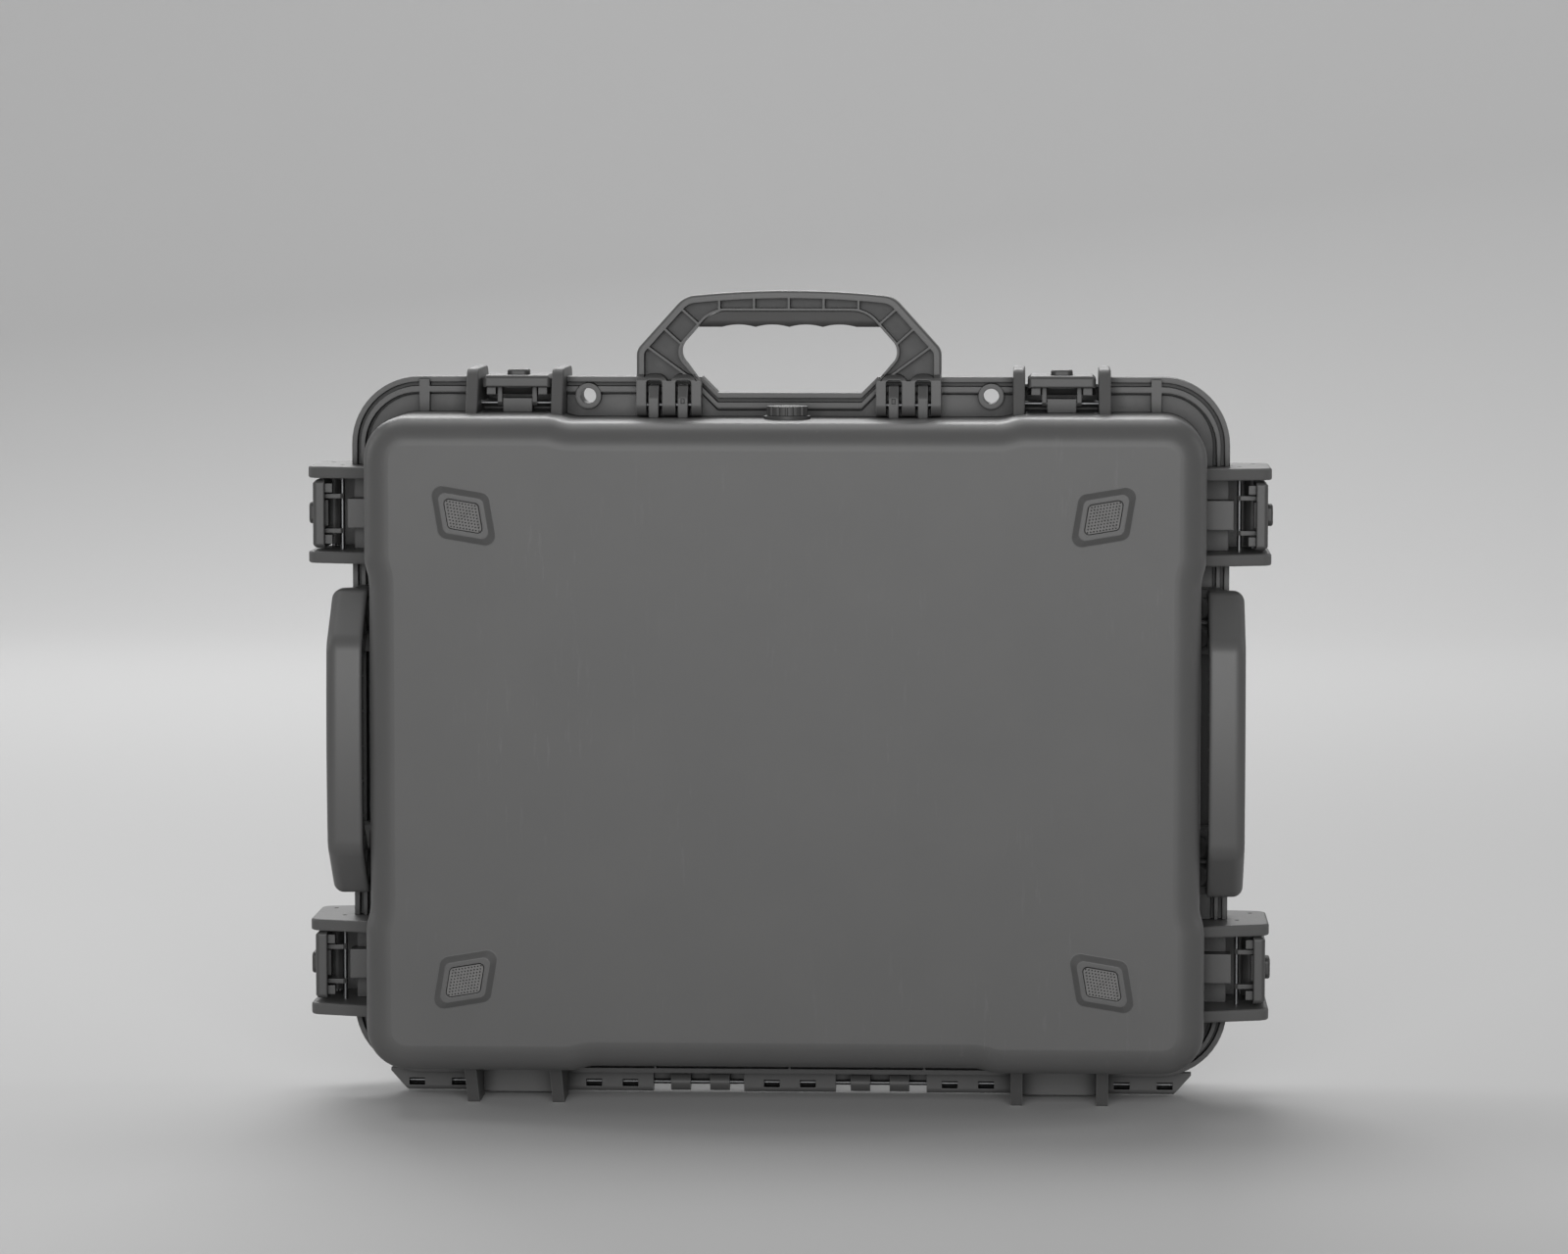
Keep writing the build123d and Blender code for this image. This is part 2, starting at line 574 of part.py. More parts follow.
def hinge_strip():
    """Base's half of the hinge: barrel behind a plate with windows and two open bays."""
    bottom = HINGE_Z - HINGE_BARREL
    top = HINGE_TOP
    y_front = Y_PART - HINGE_FRONT
    with BuildPart() as strip:
        with BuildSketch(face_plane(y_front, 0)):
            with BuildLine():
                Polyline(
                    (-HINGE_HALF_TOP, top + WAIST / 2),
                    (-HINGE_HALF_TOP, top),
                    (-HINGE_HALF_BOTTOM, bottom),
                    (HINGE_HALF_BOTTOM, bottom),
                    (HINGE_HALF_TOP, top),
                    (HINGE_HALF_TOP, top + WAIST / 2),
                    close=True,
                )
            make_face()
        extrude(amount=HINGE_FRONT + HINGE_BARREL, dir=TO_LID)
        with BuildSketch(Plane.YZ.offset(-HINGE_HALF_TOP)) as profile:
            with Locations(((y_front + Y_BASE_RIM) / 2, (bottom + top + WAIST) / 2)):
                Rectangle(Y_BASE_RIM - y_front, top + WAIST - bottom)
            fillet(profile.vertices().sort_by(Axis.X)[:2].sort_by(Axis.Y)[0], HINGE_ROUND)
            with Locations((Y_PART, HINGE_Z)):
                Circle(HINGE_BARREL)
        extrude(amount=2 * HINGE_HALF_TOP, mode=Mode.INTERSECT)
        for sign in SIDES:
            near, far = HINGE_BAY
            with Locations((sign * (near + far) / 2, Y_PART, bottom)):
                Box(far - near, 4 * HINGE_FRONT, 2 * (top - bottom), mode=Mode.SUBTRACT)
            for window in HINGE_WINDOWS:
                with Locations((sign * window, y_front, HINGE_Z)):
                    depth = 2 * (HINGE_FRONT + HINGE_PIN_RADIUS + OVER)
                    Box(HINGE_WINDOW_WIDTH, depth, HINGE_WINDOW_HEIGHT, mode=Mode.SUBTRACT)
    return strip.part


def foot_boss(at):
    """Raised foot with sloping sides."""
    with BuildPart() as boss:
        wide = foot_plan(Y_FACE, at, 0, FOOT_CORNER)
        narrow = foot_plan(Y_FACE - FOOT_RISE, at, FOOT_SLOPE, FOOT_CORNER - FOOT_SLOPE / 2)
        loft([wide, narrow])
    return boss.part


HINGE_LINE = wall_plane((0, Y_PART, HINGE_Z), (0, 0, 1))

with BuildPart() as base_shell:
    add(outer_form(Y_FACE, Y_BASE_RIM))
    add(rim_form(Y_BASE_RIM, 1, BASE_PANEL_DEPTH, BASE_SKIRT_DEPTH, BASE_LIP_DEPTH))
    add(padlock_ring(Y_BASE_RIM, 1, Mode.ADD))
    for latch in LATCHES.values():
        size = latch.size
        floor = size.floor - size.rise
        low, high = (-BASE_SKIRT_DEPTH - OVER, floor), (OVER, size.proud)
        add(slab(latch.plane, EAR_GAP / 2, low, high), mode=Mode.SUBTRACT)
        low = (low[0], BAY_FOOT - size.rise)
        if low[1] < floor:
            ribs = slab(latch.plane, EAR_GAP / 2, low, (-RIM_PLATE, floor + OVER))
            add(ribs, mode=Mode.SUBTRACT)
        ears = ear_pair(latch.plane, base_ear_points(size), [0, 0, 0, EAR_ROUND, 0], -size.rise / 2)
        add(ears)
        add(keeper_block(latch))
        bore = LATCH_PIN_RADIUS + PIN_SEAT
        add(rod(latch.plane, (-KEEPER, -KEEPER_DEPTH), bore, EAR_OUTER + OVER), mode=Mode.SUBTRACT)
    for plane in PIVOTS.values():
        for sign in SIDES:
            arm = handle_arms(sign, plane)
            half = HANDLE_ARM_WIDTH / 2 + HANDLE_BAY_GAP
            low = (-BASE_DEPTH / 2, -HANDLE_RISE)
            high = (HANDLE_BARREL + HANDLE_CLEAR, HANDLE_REACH)
            add(slab(arm, half, low, high), mode=Mode.SUBTRACT)
            add(handle_lugs(arm))
            bore = HANDLE_PIN_RADIUS + PIN_SEAT
            add(rod(arm, (0, 0), bore, HANDLE_ARM_WIDTH / 2), mode=Mode.SUBTRACT)
            add(lug_mark(sign, arm), mode=Mode.SUBTRACT)
    add(hinge_strip())
    for plane in STANDS:
        foot = -STAND_DROP - EAR_FOOT
        near, height = STAND_NEAR
        sole = [(-STAND_BASE, 0), (-STAND_CLEAR, 0)]
        outline = [(-near, foot), (-near, -height)] + sole + [(-STAND_CLEAR, foot)]
        add(ear_pair(plane, outline, [0, 0, EAR_ROUND / 2, 0, 0]))
        low = (-STAND_BLOCK, -STAND_DROP - WAIST / 2)
        add(slab(plane, EAR_GAP / 2, low, (-HINGE_FRONT + OVER, -STAND_BLOCK_DROP)))
    bore = HINGE_PIN_RADIUS + PIN_SEAT
    add(rod(HINGE_LINE, (0, 0), bore, HINGE_PIN_HALF + OVER), mode=Mode.SUBTRACT)
    for x in HINGE_TIES:
        height = LIP_OUTER.hinge + WAIST
        with Locations((x, Y_BASE_RIM - BASE_LIP_DEPTH / 2, HINGE_TOP + height / 2)):
            Box(HINGE_TIE, BASE_LIP_DEPTH, height)
    tongue = SEAL_CHANNEL_DEPTH - SEAL_HEIGHT - SEAL_SETTLE
    extrude(seal_ring(Y_BASE_RIM, TONGUE_WIDTH), amount=tongue, dir=TO_LID)
    for at in FEET:
        add(foot_boss(at))
        margin, corner = FOOT_PAD_MARGIN - FOOT_PAD_GAP, FOOT_PAD_CORNER + FOOT_PAD_GAP
        pocket = foot_plan(Y_FACE - FOOT_RISE, at, margin, corner)
        sunk = FOOT_PAD_THICK - FOOT_PAD_PROUD
        extrude(pocket, amount=sunk, dir=TO_LID, mode=Mode.SUBTRACT)
    add(cavity_form(Y_FACE + WALL, Y_PART + OVER, CAVITY_EDGE), mode=Mode.SUBTRACT)
    with BuildSketch(Plane(origin=VALVE.origin, x_dir=VALVE.x_dir, z_dir=VALVE.z_dir)):
        Circle(VALVE_HUB_RADIUS + PIN_SEAT)
    extrude(amount=2 * WALL, both=True, mode=Mode.SUBTRACT)
    add(padlock_ring(Y_BASE_RIM, 1, Mode.SUBTRACT), mode=Mode.SUBTRACT)

# ------------------------------------------------------------------ lid shell
with BuildPart() as lid_shell:
    add(outer_form(Y_LID_FACE, Y_LID_RIM))
    add(rim_form(Y_LID_RIM, -1, LID_PANEL_DEPTH, LID_SKIRT_DEPTH, LID_LIP_DEPTH))
    add(padlock_ring(Y_LID_RIM, -1, Mode.ADD))
    for latch in LATCHES.values():
        size = latch.size
        floor = size.floor - size.rise
        low, high = (-OVER, floor), (LID_SKIRT_DEPTH + OVER, size.proud)
        add(slab(latch.plane, EAR_GAP / 2, low, high), mode=Mode.SUBTRACT)
        ears = ear_pair(latch.plane, lid_ear_points(size), [0, 0, 0, EAR_ROUND, 0], -size.rise / 2)
        add(ears)
        low = (LATCH_WEB, -size.rise - WAIST / 2)
        high = (LATCH_WEB + LATCH_WEB_THICK, -LATCH_WEB_TOP)
        add(slab(latch.plane, EAR_GAP / 2, low, high))
        bore = LATCH_PIN_RADIUS + PIN_SEAT
        pivot = (LEVER_PIVOT, -LEVER_PIVOT_DEPTH)
        add(rod(latch.plane, pivot, bore, EAR_OUTER + OVER), mode=Mode.SUBTRACT)
    for plane in STANDS:
        foot = -STAND_DROP - EAR_FOOT
        base_end, far, height = LID_STAND
        outline = [(STAND_CLEAR, foot), (STAND_CLEAR, 0), (base_end, 0), (far, -height), (far, foot)]
        add(ear_pair(plane, outline, [0, 0, EAR_ROUND / 2, 0, 0]))
        low = (STAND_CLEAR, -STAND_DROP - WAIST / 2)
        add(slab(plane, EAR_GAP / 2, low, (STAND_BLOCK, -STAND_BLOCK_DROP)))
    for sign in SIDES:
        for knuckle in HINGE_KNUCKLES:
            start = sign * knuckle - HINGE_KNUCKLE_WIDTH / 2
            gap = PARTING_GAP / 2
            rise = HINGE_TOP - HINGE_Z + WAIST
            with BuildSketch(across(HINGE_LINE, start)):
                Circle(HINGE_BARREL)
                with Locations(((HINGE_FRONT + gap) / 2, rise / 2)):
                    Rectangle(HINGE_FRONT - gap, rise)
            extrude(amount=HINGE_KNUCKLE_WIDTH)
        near, far = HINGE_BAY
        low, high = HINGE_Z - HINGE_APRON_END, HINGE_TOP + WAIST / 2
        place = (sign * (near + far) / 2, Y_PART + HINGE_FRONT + HINGE_APRON / 2, (low + high) / 2)
        with Locations(place):
            Box(far - near + 2 * HINGE_APRON, HINGE_APRON, high - low)
    bore = HINGE_PIN_RADIUS + PIN_FIT
    add(rod(HINGE_LINE, (0, 0), bore, HINGE_BAY[1]), mode=Mode.SUBTRACT)
    bed = seal_ring(Y_LID_RIM, SEAL_CHANNEL_WIDTH + RIM_PLATE)
    extrude(bed, amount=SEAL_CHANNEL_DEPTH + WALL, dir=TO_LID)
    channel = seal_ring(Y_LID_RIM, SEAL_CHANNEL_WIDTH)
    extrude(channel, amount=SEAL_CHANNEL_DEPTH, dir=TO_LID, mode=Mode.SUBTRACT)
    add(cavity_form(Y_LID_FACE - LID_FACE_WALL, Y_PART - OVER, LID_CAVITY_EDGE), mode=Mode.SUBTRACT)
    for at in FEET:
        recess = foot_plan(Y_LID_FACE, at, -STACK_GAP, FOOT_CORNER + STACK_GAP)
        extrude(recess, amount=FOOT_RISE, dir=(0, -1, 0), mode=Mode.SUBTRACT)
    add(padlock_ring(Y_LID_RIM, -1, Mode.SUBTRACT), mode=Mode.SUBTRACT)

with BuildPart() as lid_gasket:
    y_seat = Y_LID_RIM + SEAL_CHANNEL_DEPTH - SEAL_HEIGHT
    extrude(seal_ring(y_seat, SEAL_WIDTH), amount=SEAL_HEIGHT, dir=TO_LID)

# ------------------------------------------------------------------ pins and rods
with BuildPart() as hinge_pin:
    add(rod(HINGE_LINE, (0, 0), HINGE_PIN_RADIUS, HINGE_PIN_HALF))

with BuildPart() as keeper_rods:
    for latch in LATCHES.values():
        add(rod(latch.plane, (-KEEPER, -KEEPER_DEPTH), LATCH_PIN_RADIUS, EAR_OUTER - ROD_INSET))

with BuildPart() as lever_pins:
    for latch in LATCHES.values():
        pivot = (LEVER_PIVOT, -LEVER_PIVOT_DEPTH)
        add(rod(latch.plane, pivot, LATCH_PIN_RADIUS, EAR_OUTER - ROD_INSET))

with BuildPart() as handle_pins:
    for plane in PIVOTS.values():
        for sign in SIDES:
            half = HANDLE_ARM_WIDTH / 2 - ROD_INSET
            add(rod(handle_arms(sign, plane), (0, 0), HANDLE_PIN_RADIUS, half))

# ------------------------------------------------------------------ foot pads
foot_pads = []
for at in FEET:
    with BuildPart() as pad:
        y_seat = Y_FACE - FOOT_RISE - FOOT_PAD_PROUD + FOOT_PAD_THICK
        plan = foot_plan(y_seat, at, FOOT_PAD_MARGIN, FOOT_PAD_CORNER)
        extrude(plan, amount=FOOT_PAD_THICK, dir=(0, -1, 0))
        fillet(pad.faces().sort_by(Axis.Y)[0].edges(), FOOT_PAD_PROUD / 2)
    foot_pads.append(pad.part)

# ------------------------------------------------------------------ latch lever, button and spring
# Built once on a wall plane laid flat: x across the latch, y to the lid, z outward.
with BuildPart() as lever:
    with BuildSketch(Plane.YZ.offset(-LEVER_WIDTH / 2)):
        with BuildLine():
            back = LEVER_PIVOT + LEVER_BARREL
            FilletPolyline(
                (-LEVER_FREE, -LEVER_EDGE),
                (-LEVER_FREE, 0),
                (LEVER_PIVOT, 0),
                (back, -LEVER_PIVOT_DEPTH),
                (LEVER_PIVOT - LEVER_BARREL, -LEVER_PIVOT_DEPTH),
                (LEVER_PIVOT - LEVER_BARREL, -LEVER_EDGE),
                radius=[*LEVER_ROUNDS, 0, 0, 0],
                close=True,
            )
        make_face()
        with Locations((LEVER_PIVOT, -LEVER_PIVOT_DEPTH)):
            Circle(LEVER_BARREL)
    extrude(amount=LEVER_WIDTH)
    with BuildSketch(Plane.XZ.offset(LEVER_FREE)) as section:
        with Locations((0, -LEVER_EDGE)):
            Rectangle(LEVER_WIDTH, 2 * LEVER_EDGE)
        chamfer(section.vertices().group_by(Axis.Y)[-1], LEVER_BEVEL)
    extrude(amount=-LEVER_FREE - 2 * LEVER_PIVOT, mode=Mode.INTERSECT)
    with BuildSketch(Plane.XY.offset(OVER)) as face:
        with Locations((0, LEVER_PIVOT)):
            Rectangle(LEVER_WIDTH, 2 * (LEVER_FREE + LEVER_PIVOT))
        fillet(face.vertices().group_by(Axis.Y)[0], LEVER_CORNER)
    extrude(amount=-2 * LEVER_FREE, mode=Mode.INTERSECT)
    inner = (-LEVER_FREE + LEVER_WALL, -LEVER_EDGE - OVER)
    outer = (LEVER_PIVOT - LEVER_BARREL - OVER, -LEVER_PLATE)
    with BuildSketch(Plane.YZ.offset(-LEVER_WIDTH / 2 + LEVER_WALL)):
        with Locations(((inner[0] + outer[0]) / 2, (inner[1] + outer[1]) / 2)):
            Rectangle(outer[0] - inner[0], outer[1] - inner[1])
    extrude(amount=LEVER_WIDTH - 2 * LEVER_WALL, mode=Mode.SUBTRACT)
    claw_face = -KEEPER - LATCH_PIN_RADIUS - CLAW_GAP
    claw_tip = -KEEPER_DEPTH - LATCH_PIN_RADIUS
    for start in (-CLAW_OUTER, CLAW_INNER):
        with BuildSketch(Plane.YZ.offset(start)):
            with BuildLine():
                FilletPolyline(
                    (claw_face - CLAW_BACK, -LEVER_PLATE + OVER),
                    (claw_face - CLAW_BACK, claw_tip + CLAW_NOSE),
                    (claw_face - CLAW_BACK + CLAW_NOSE, claw_tip),
                    (claw_face, claw_tip),
                    (claw_face, -KEEPER_DEPTH + CLAW_THROAT),
                    (-KEEPER + CLAW_THROAT, -LEVER_EDGE - CLAW_NOSE),
                    (-KEEPER + CLAW_THROAT, -LEVER_PLATE + OVER),
                    radius=[0, 1, 1, 0.5, 1, 1, 0],
                    close=True,
                )
            make_face()
        extrude(amount=CLAW_OUTER - CLAW_INNER)
    near, far = LEVER_RIB
    for sign in SIDES:
        place = (sign * (near + far) / 2, LEVER_WALL + LEVER_RIB_LONG / 2 - LEVER_FREE)
        with BuildSketch(Plane.XY.offset(-LEVER_RIB_DEPTH)):
            with Locations(place):
                Rectangle(far - near, LEVER_RIB_LONG)
        extrude(amount=LEVER_RIB_DEPTH - LEVER_PLATE)
    with BuildSketch(Plane.XY.offset(OVER)):
        with Locations((0, -BUTTON_SEAT)):
            width, length = BUTTON_WIDTH + 2 * BUTTON_GAP, BUTTON_LENGTH + 2 * BUTTON_GAP
            RectangleRounded(width, length, BUTTON_CORNER)
    extrude(amount=-BUTTON_RECESS - OVER, mode=Mode.SUBTRACT)
    with BuildSketch(Plane.XY):
        with Locations((0, -BUTTON_SEAT)):
            Rectangle(BUTTON_STEM[0] + 2 * BUTTON_GAP, BUTTON_STEM[1] + 2 * BUTTON_GAP)
    extrude(amount=-LEVER_EDGE, mode=Mode.SUBTRACT)
    with Locations((0, LEVER_PIVOT, -LEVER_PIVOT_DEPTH)):
        bore = LATCH_PIN_RADIUS + PIN_FIT
        Cylinder(bore, LEVER_WIDTH + 2 * OVER, rotation=(0, 90, 0), mode=Mode.SUBTRACT)

with BuildPart() as button:
    with BuildSketch(Plane.XY.offset(-BUTTON_SUNK)):
        with Locations((0, -BUTTON_SEAT)):
            RectangleRounded(BUTTON_WIDTH, BUTTON_LENGTH, BUTTON_CORNER - BUTTON_GAP)
    extrude(amount=BUTTON_SUNK + BUTTON_PROUD)
    fillet(button.faces().sort_by(Axis.Z)[-1].edges(), BUTTON_EDGE)
    with BuildSketch(Plane.XY.offset(-BUTTON_SUNK)):
        with Locations((0, -BUTTON_SEAT)):
            Rectangle(*BUTTON_STEM)
    extrude(amount=BUTTON_SUNK - BUTTON_FOOT_TOP)
    with BuildSketch(Plane.XY.offset(-BUTTON_FOOT_TOP)):
        with Locations((0, -BUTTON_SEAT)):
            Rectangle(*BUTTON_FOOT)
    extrude(amount=-BUTTON_FOOT_THICK)

with BuildPart() as button_spring:
    low = -BUTTON_RECESS + BUTTON_SPRING / 3
    high = -BUTTON_SUNK - 4 / 3 * BUTTON_SPRING
    start = -BUTTON_SEAT - BUTTON_LENGTH / 2 + BUTTON_SPRING_INSET
    end = -BUTTON_SEAT + BUTTON_LENGTH / 2 - BUTTON_SPRING_INSET
    width = BUTTON_WIDTH - 2 * BUTTON_SPRING_INSET
    with BuildSketch(Plane.YZ.offset(-width / 2)):
        with BuildLine():
            ThreePointArc((start, low), (-BUTTON_SEAT, high), (end, low))
            Line((end, low), (end, low + BUTTON_SPRING))
            crest = (-BUTTON_SEAT, high + BUTTON_SPRING)
            ThreePointArc((end, low + BUTTON_SPRING), crest, (start, low + BUTTON_SPRING))
            Line((start, low + BUTTON_SPRING), (start, low))
        make_face()
    extrude(amount=width)
    hole = [side + 4 * BUTTON_GAP for side in BUTTON_STEM]
    with Locations((0, -BUTTON_SEAT, (low + high) / 2)):
        Box(*hole, 2 * BUTTON_RECESS, mode=Mode.SUBTRACT)

# ------------------------------------------------------------------ handle frame and grip
# Built once in a handle's own frame: x along the pivot, y to the grip, z to the pocketed face.

def mirrored(points):
    """Half of a closed outline, then the same half mirrored across the handle's middle."""
    return points + [(-x, y, r) for x, y, r in reversed(points)]


def outline(corners):
    """Closed outline of (x, y, rounding) corners."""
    with BuildSketch() as plan:
        with BuildLine():
            points = [(x, y) for x, y, _ in corners]
            FilletPolyline(*points, radius=[r for _, _, r in corners], close=True)
        make_face()
    return plan.sketch


SLOT_MIDDLES = [
    sign * HANDLE_ARM + offset_x
    for sign in SIDES
    for offset_x in (-HANDLE_LUG_OFFSET, HANDLE_LUG_OFFSET)
]
HANDLE_OPENING = outline(
    mirrored(
        [
            (ARM_INNER, -HANDLE_BARREL - OVER, 0),
            (ARM_INNER, *HANDLE_OPEN_LOW),
            HANDLE_OPEN_MID,
            HANDLE_OPEN_TOP,
        ]
    )
)

with BuildSketch() as handle_silhouette:
    crown_round, shoulder_round = HANDLE_CORNERS
    add(
        outline(
            mirrored(
                [
                    (ARM_OUTER, -HANDLE_BARREL, 0),
                    (ARM_OUTER, HANDLE_SHOULDER, shoulder_round),
                    (HANDLE_CROWN_HALF, HANDLE_CROWN, 0),
                ]
            )
        )
    )
    crown = (HANDLE_CROWN_HALF, HANDLE_CROWN)
    with BuildLine():
        ThreePointArc((-HANDLE_CROWN_HALF, HANDLE_CROWN), (0, HANDLE_REACH), crown)
        Line((-HANDLE_CROWN_HALF, HANDLE_CROWN), crown)
    make_face()
    fillet(handle_silhouette.vertices().group_by(Axis.Y)[-1], crown_round)

with BuildSketch() as handle_pockets:
    add(handle_silhouette.sketch)
    offset(amount=-HANDLE_RIM, mode=Mode.REPLACE)
    with BuildSketch(mode=Mode.PRIVATE) as lining:
        add(HANDLE_OPENING)
        offset(amount=HANDLE_LINING, mode=Mode.REPLACE)
    add(lining.sketch, mode=Mode.SUBTRACT)
    with Locations((0, HANDLE_POCKET_LOW - HANDLE_REACH)):
        Rectangle(3 * HANDLE_REACH, 2 * HANDLE_REACH, mode=Mode.SUBTRACT)
    rim, rounding = HANDLE_SLOT_RIM
    for x in SLOT_MIDDLES:
        with Locations((x, 0)):
            width, height = HANDLE_SLOT + 2 * rim, 2 * (HANDLE_SLOT_TOP + rim)
            RectangleRounded(width, height, rounding, mode=Mode.SUBTRACT)
    with Locations((0, HANDLE_REACH)):
        with GridLocations(HANDLE_RIB_PITCH, 1, 5, 1):
            Rectangle(HANDLE_RIB, HANDLE_REACH, mode=Mode.SUBTRACT)
    for sign in SIDES:
        for x, y, turn in HANDLE_ARM_RIBS:
            with Locations(Location((sign * x, y, 0), (0, 0, sign * turn))):
                Rectangle(HANDLE_ARM_WIDTH, HANDLE_RIB, mode=Mode.SUBTRACT)

with BuildPart() as handle_frame:
    with BuildSketch(Plane.XY.offset(-HANDLE_BACK)):
        add(handle_silhouette.sketch)
    extrude(amount=HANDLE_BACK + HANDLE_FRONT)
    for level, radius in ((-HANDLE_BACK, HANDLE_BACK_EDGE), (HANDLE_FRONT, HANDLE_FACE_EDGE)):
        tight = PIN_FIT
        rim = handle_frame.edges().filter_by_position(Axis.Z, level - tight, level + tight)
        rim = rim.filter_by_position(Axis.Y, OVER - HANDLE_BARREL, HANDLE_REACH + OVER)
        fillet(rim, radius)
    for sign in SIDES:
        with BuildSketch(Plane.YZ.offset(sign * HANDLE_ARM - HANDLE_ARM_WIDTH / 2)):
            Circle(HANDLE_BARREL)
            with BuildLine():
                FilletPolyline(
                    (0, -HANDLE_BARREL),
                    (HANDLE_NOSE[0], -HANDLE_BARREL),
                    (HANDLE_NOSE[1], 0),
                    (HANDLE_NOSE[2], HANDLE_BARREL),
                    (0, HANDLE_BARREL),
                    radius=[0, *HANDLE_NOSE_ROUNDS, 0],
                    close=True,
                )
            make_face()
        extrude(amount=HANDLE_ARM_WIDTH)
    with BuildSketch(Plane.YZ.offset(-ARM_OUTER - OVER)) as low_back:
        with BuildLine():
            Polyline(
                (-2 * HANDLE_BARREL, -HANDLE_BARREL),
                (HANDLE_NOSE[0], -HANDLE_BARREL),
                (HANDLE_NOSE[0] + HANDLE_BACK_SLOPE, -HANDLE_BACK - OVER),
                (-2 * HANDLE_BARREL, -HANDLE_BACK - OVER),
                close=True,
            )
        make_face()
        corner = low_back.vertices().sort_by(Axis.Y)[-2:].sort_by(Axis.X)[-1]
        fillet(corner, HANDLE_BACK_ROUND)
    extrude(amount=2 * (ARM_OUTER + OVER), mode=Mode.SUBTRACT)
    with BuildSketch(Plane.YZ.offset(-ARM_OUTER - OVER)):
        with Locations((-HANDLE_BARREL / 2, 0)):
            Rectangle(HANDLE_BARREL, 6 * HANDLE_BARREL)
        Circle(HANDLE_BARREL, mode=Mode.SUBTRACT)
    extrude(amount=2 * (ARM_OUTER + OVER), mode=Mode.SUBTRACT)
    with BuildSketch(Plane.XY.offset(-HANDLE_BACK - OVER)):
        add(HANDLE_OPENING)
    extrude(amount=HANDLE_BACK + HANDLE_BARREL + 2 * OVER, mode=Mode.SUBTRACT)
    with BuildSketch(Plane.XY.offset(HANDLE_FRONT - HANDLE_POCKET)):
        add(handle_pockets.sketch)
    extrude(amount=2 * HANDLE_POCKET, mode=Mode.SUBTRACT)
    with BuildSketch(Plane.XY.offset(-HANDLE_BARREL - OVER)):
        for x in SLOT_MIDDLES:
            with Locations((x, 0)):
                RectangleRounded(HANDLE_SLOT, 2 * HANDLE_SLOT_TOP, HANDLE_SLOT_ROUND)
    extrude(amount=2 * (HANDLE_BARREL + OVER), mode=Mode.SUBTRACT)
    bore = HANDLE_PIN_RADIUS + PIN_FIT
    Cylinder(bore, 2 * (ARM_OUTER + OVER), rotation=(0, 90, 0), mode=Mode.SUBTRACT)

with BuildPart() as handle_grip:
    with BuildSketch(Plane.XY.offset(-HANDLE_BACK)):
        add(HANDLE_OPENING)
        offset(amount=-GRIP_SETTLE, mode=Mode.REPLACE)
    extrude(amount=HANDLE_BACK + HANDLE_FRONT)
    with BuildSketch(Plane.YZ.offset(-ARM_OUTER)) as profile:
        top = 2 * HANDLE_REACH
        thick = HANDLE_BACK + HANDLE_FRONT - GRIP_INSET - GRIP_BACK
        middle = GRIP_BACK - HANDLE_BACK + thick / 2
        with Locations(((GRIP_LOW + top) / 2, middle)):
            Rectangle(top - GRIP_LOW, thick)
        fillet(profile.vertices().sort_by(Axis.X)[:2], GRIP_EDGE)
    extrude(amount=2 * ARM_OUTER, mode=Mode.INTERSECT)
    radius = (GRIP_SCALLOP_PITCH**2 / 4 + GRIP_SCALLOP_DEPTH**2) / (2 * GRIP_SCALLOP_DEPTH)
    with Locations((0, GRIP_LOW + GRIP_SCALLOP_DEPTH - radius, middle)):
        with GridLocations(GRIP_SCALLOP_PITCH, 1, GRIP_SCALLOPS, 1):
            Cylinder(radius, HANDLE_BACK * 2, mode=Mode.SUBTRACT)

# ------------------------------------------------------------------ pressure valve
with BuildPart() as valve_body:
    with BuildSketch(Plane.XY):
        Circle(VALVE_FLANGE_RADIUS)
    extrude(amount=VALVE_FLANGE)
    with BuildSketch(Plane.XY):
        Circle(VALVE_HUB_RADIUS)
    extrude(amount=-WALL - VALVE_NUT - VALVE_HUB_PROUD)
    with BuildSketch(Plane.XY):
        Circle(VALVE_GROOVE_END)
        Circle(VALVE_GROOVE_START, mode=Mode.SUBTRACT)
    extrude(amount=VALVE_GROOVE_DEPTH, mode=Mode.SUBTRACT)
    with BuildSketch(Plane.XY.offset(VALVE_FLANGE)):
        Circle(VALVE_CHAMBER_RADIUS)
    extrude(amount=-WALL - VALVE_FLANGE, mode=Mode.SUBTRACT)
    with BuildSketch(Plane.XY.offset(-WALL)):
        Circle(VALVE_POST_RADIUS + PIN_FIT)
        with PolarLocations(VALVE_VENT_CIRCLE, 6):
            Circle(VALVE_VENT_RADIUS)
    extrude(amount=-2 * WALL, mode=Mode.SUBTRACT)

with BuildPart() as valve_membrane:
    with BuildSketch(Plane.XY.offset(-WALL)):
        Circle(VALVE_CHAMBER_RADIUS - SEAL_SETTLE)
        Circle(VALVE_POST_RADIUS + SEAL_SETTLE, mode=Mode.SUBTRACT)
    extrude(amount=VALVE_MEMBRANE)

with BuildPart() as valve_seal:
    with BuildSketch(Plane.XY):
        Circle(VALVE_GROOVE_END - SEAL_SETTLE)
        Circle(VALVE_GROOVE_START + SEAL_SETTLE, mode=Mode.SUBTRACT)
    extrude(amount=VALVE_GROOVE_DEPTH - SEAL_SETTLE)

with BuildPart() as valve_nut:
    with BuildSketch(Plane.XY.offset(-WALL)):
        RegularPolygon(VALVE_NUT_RADIUS, 6)
        Circle(VALVE_HUB_RADIUS + PIN_SEAT, mode=Mode.SUBTRACT)
    extrude(amount=-VALVE_NUT)

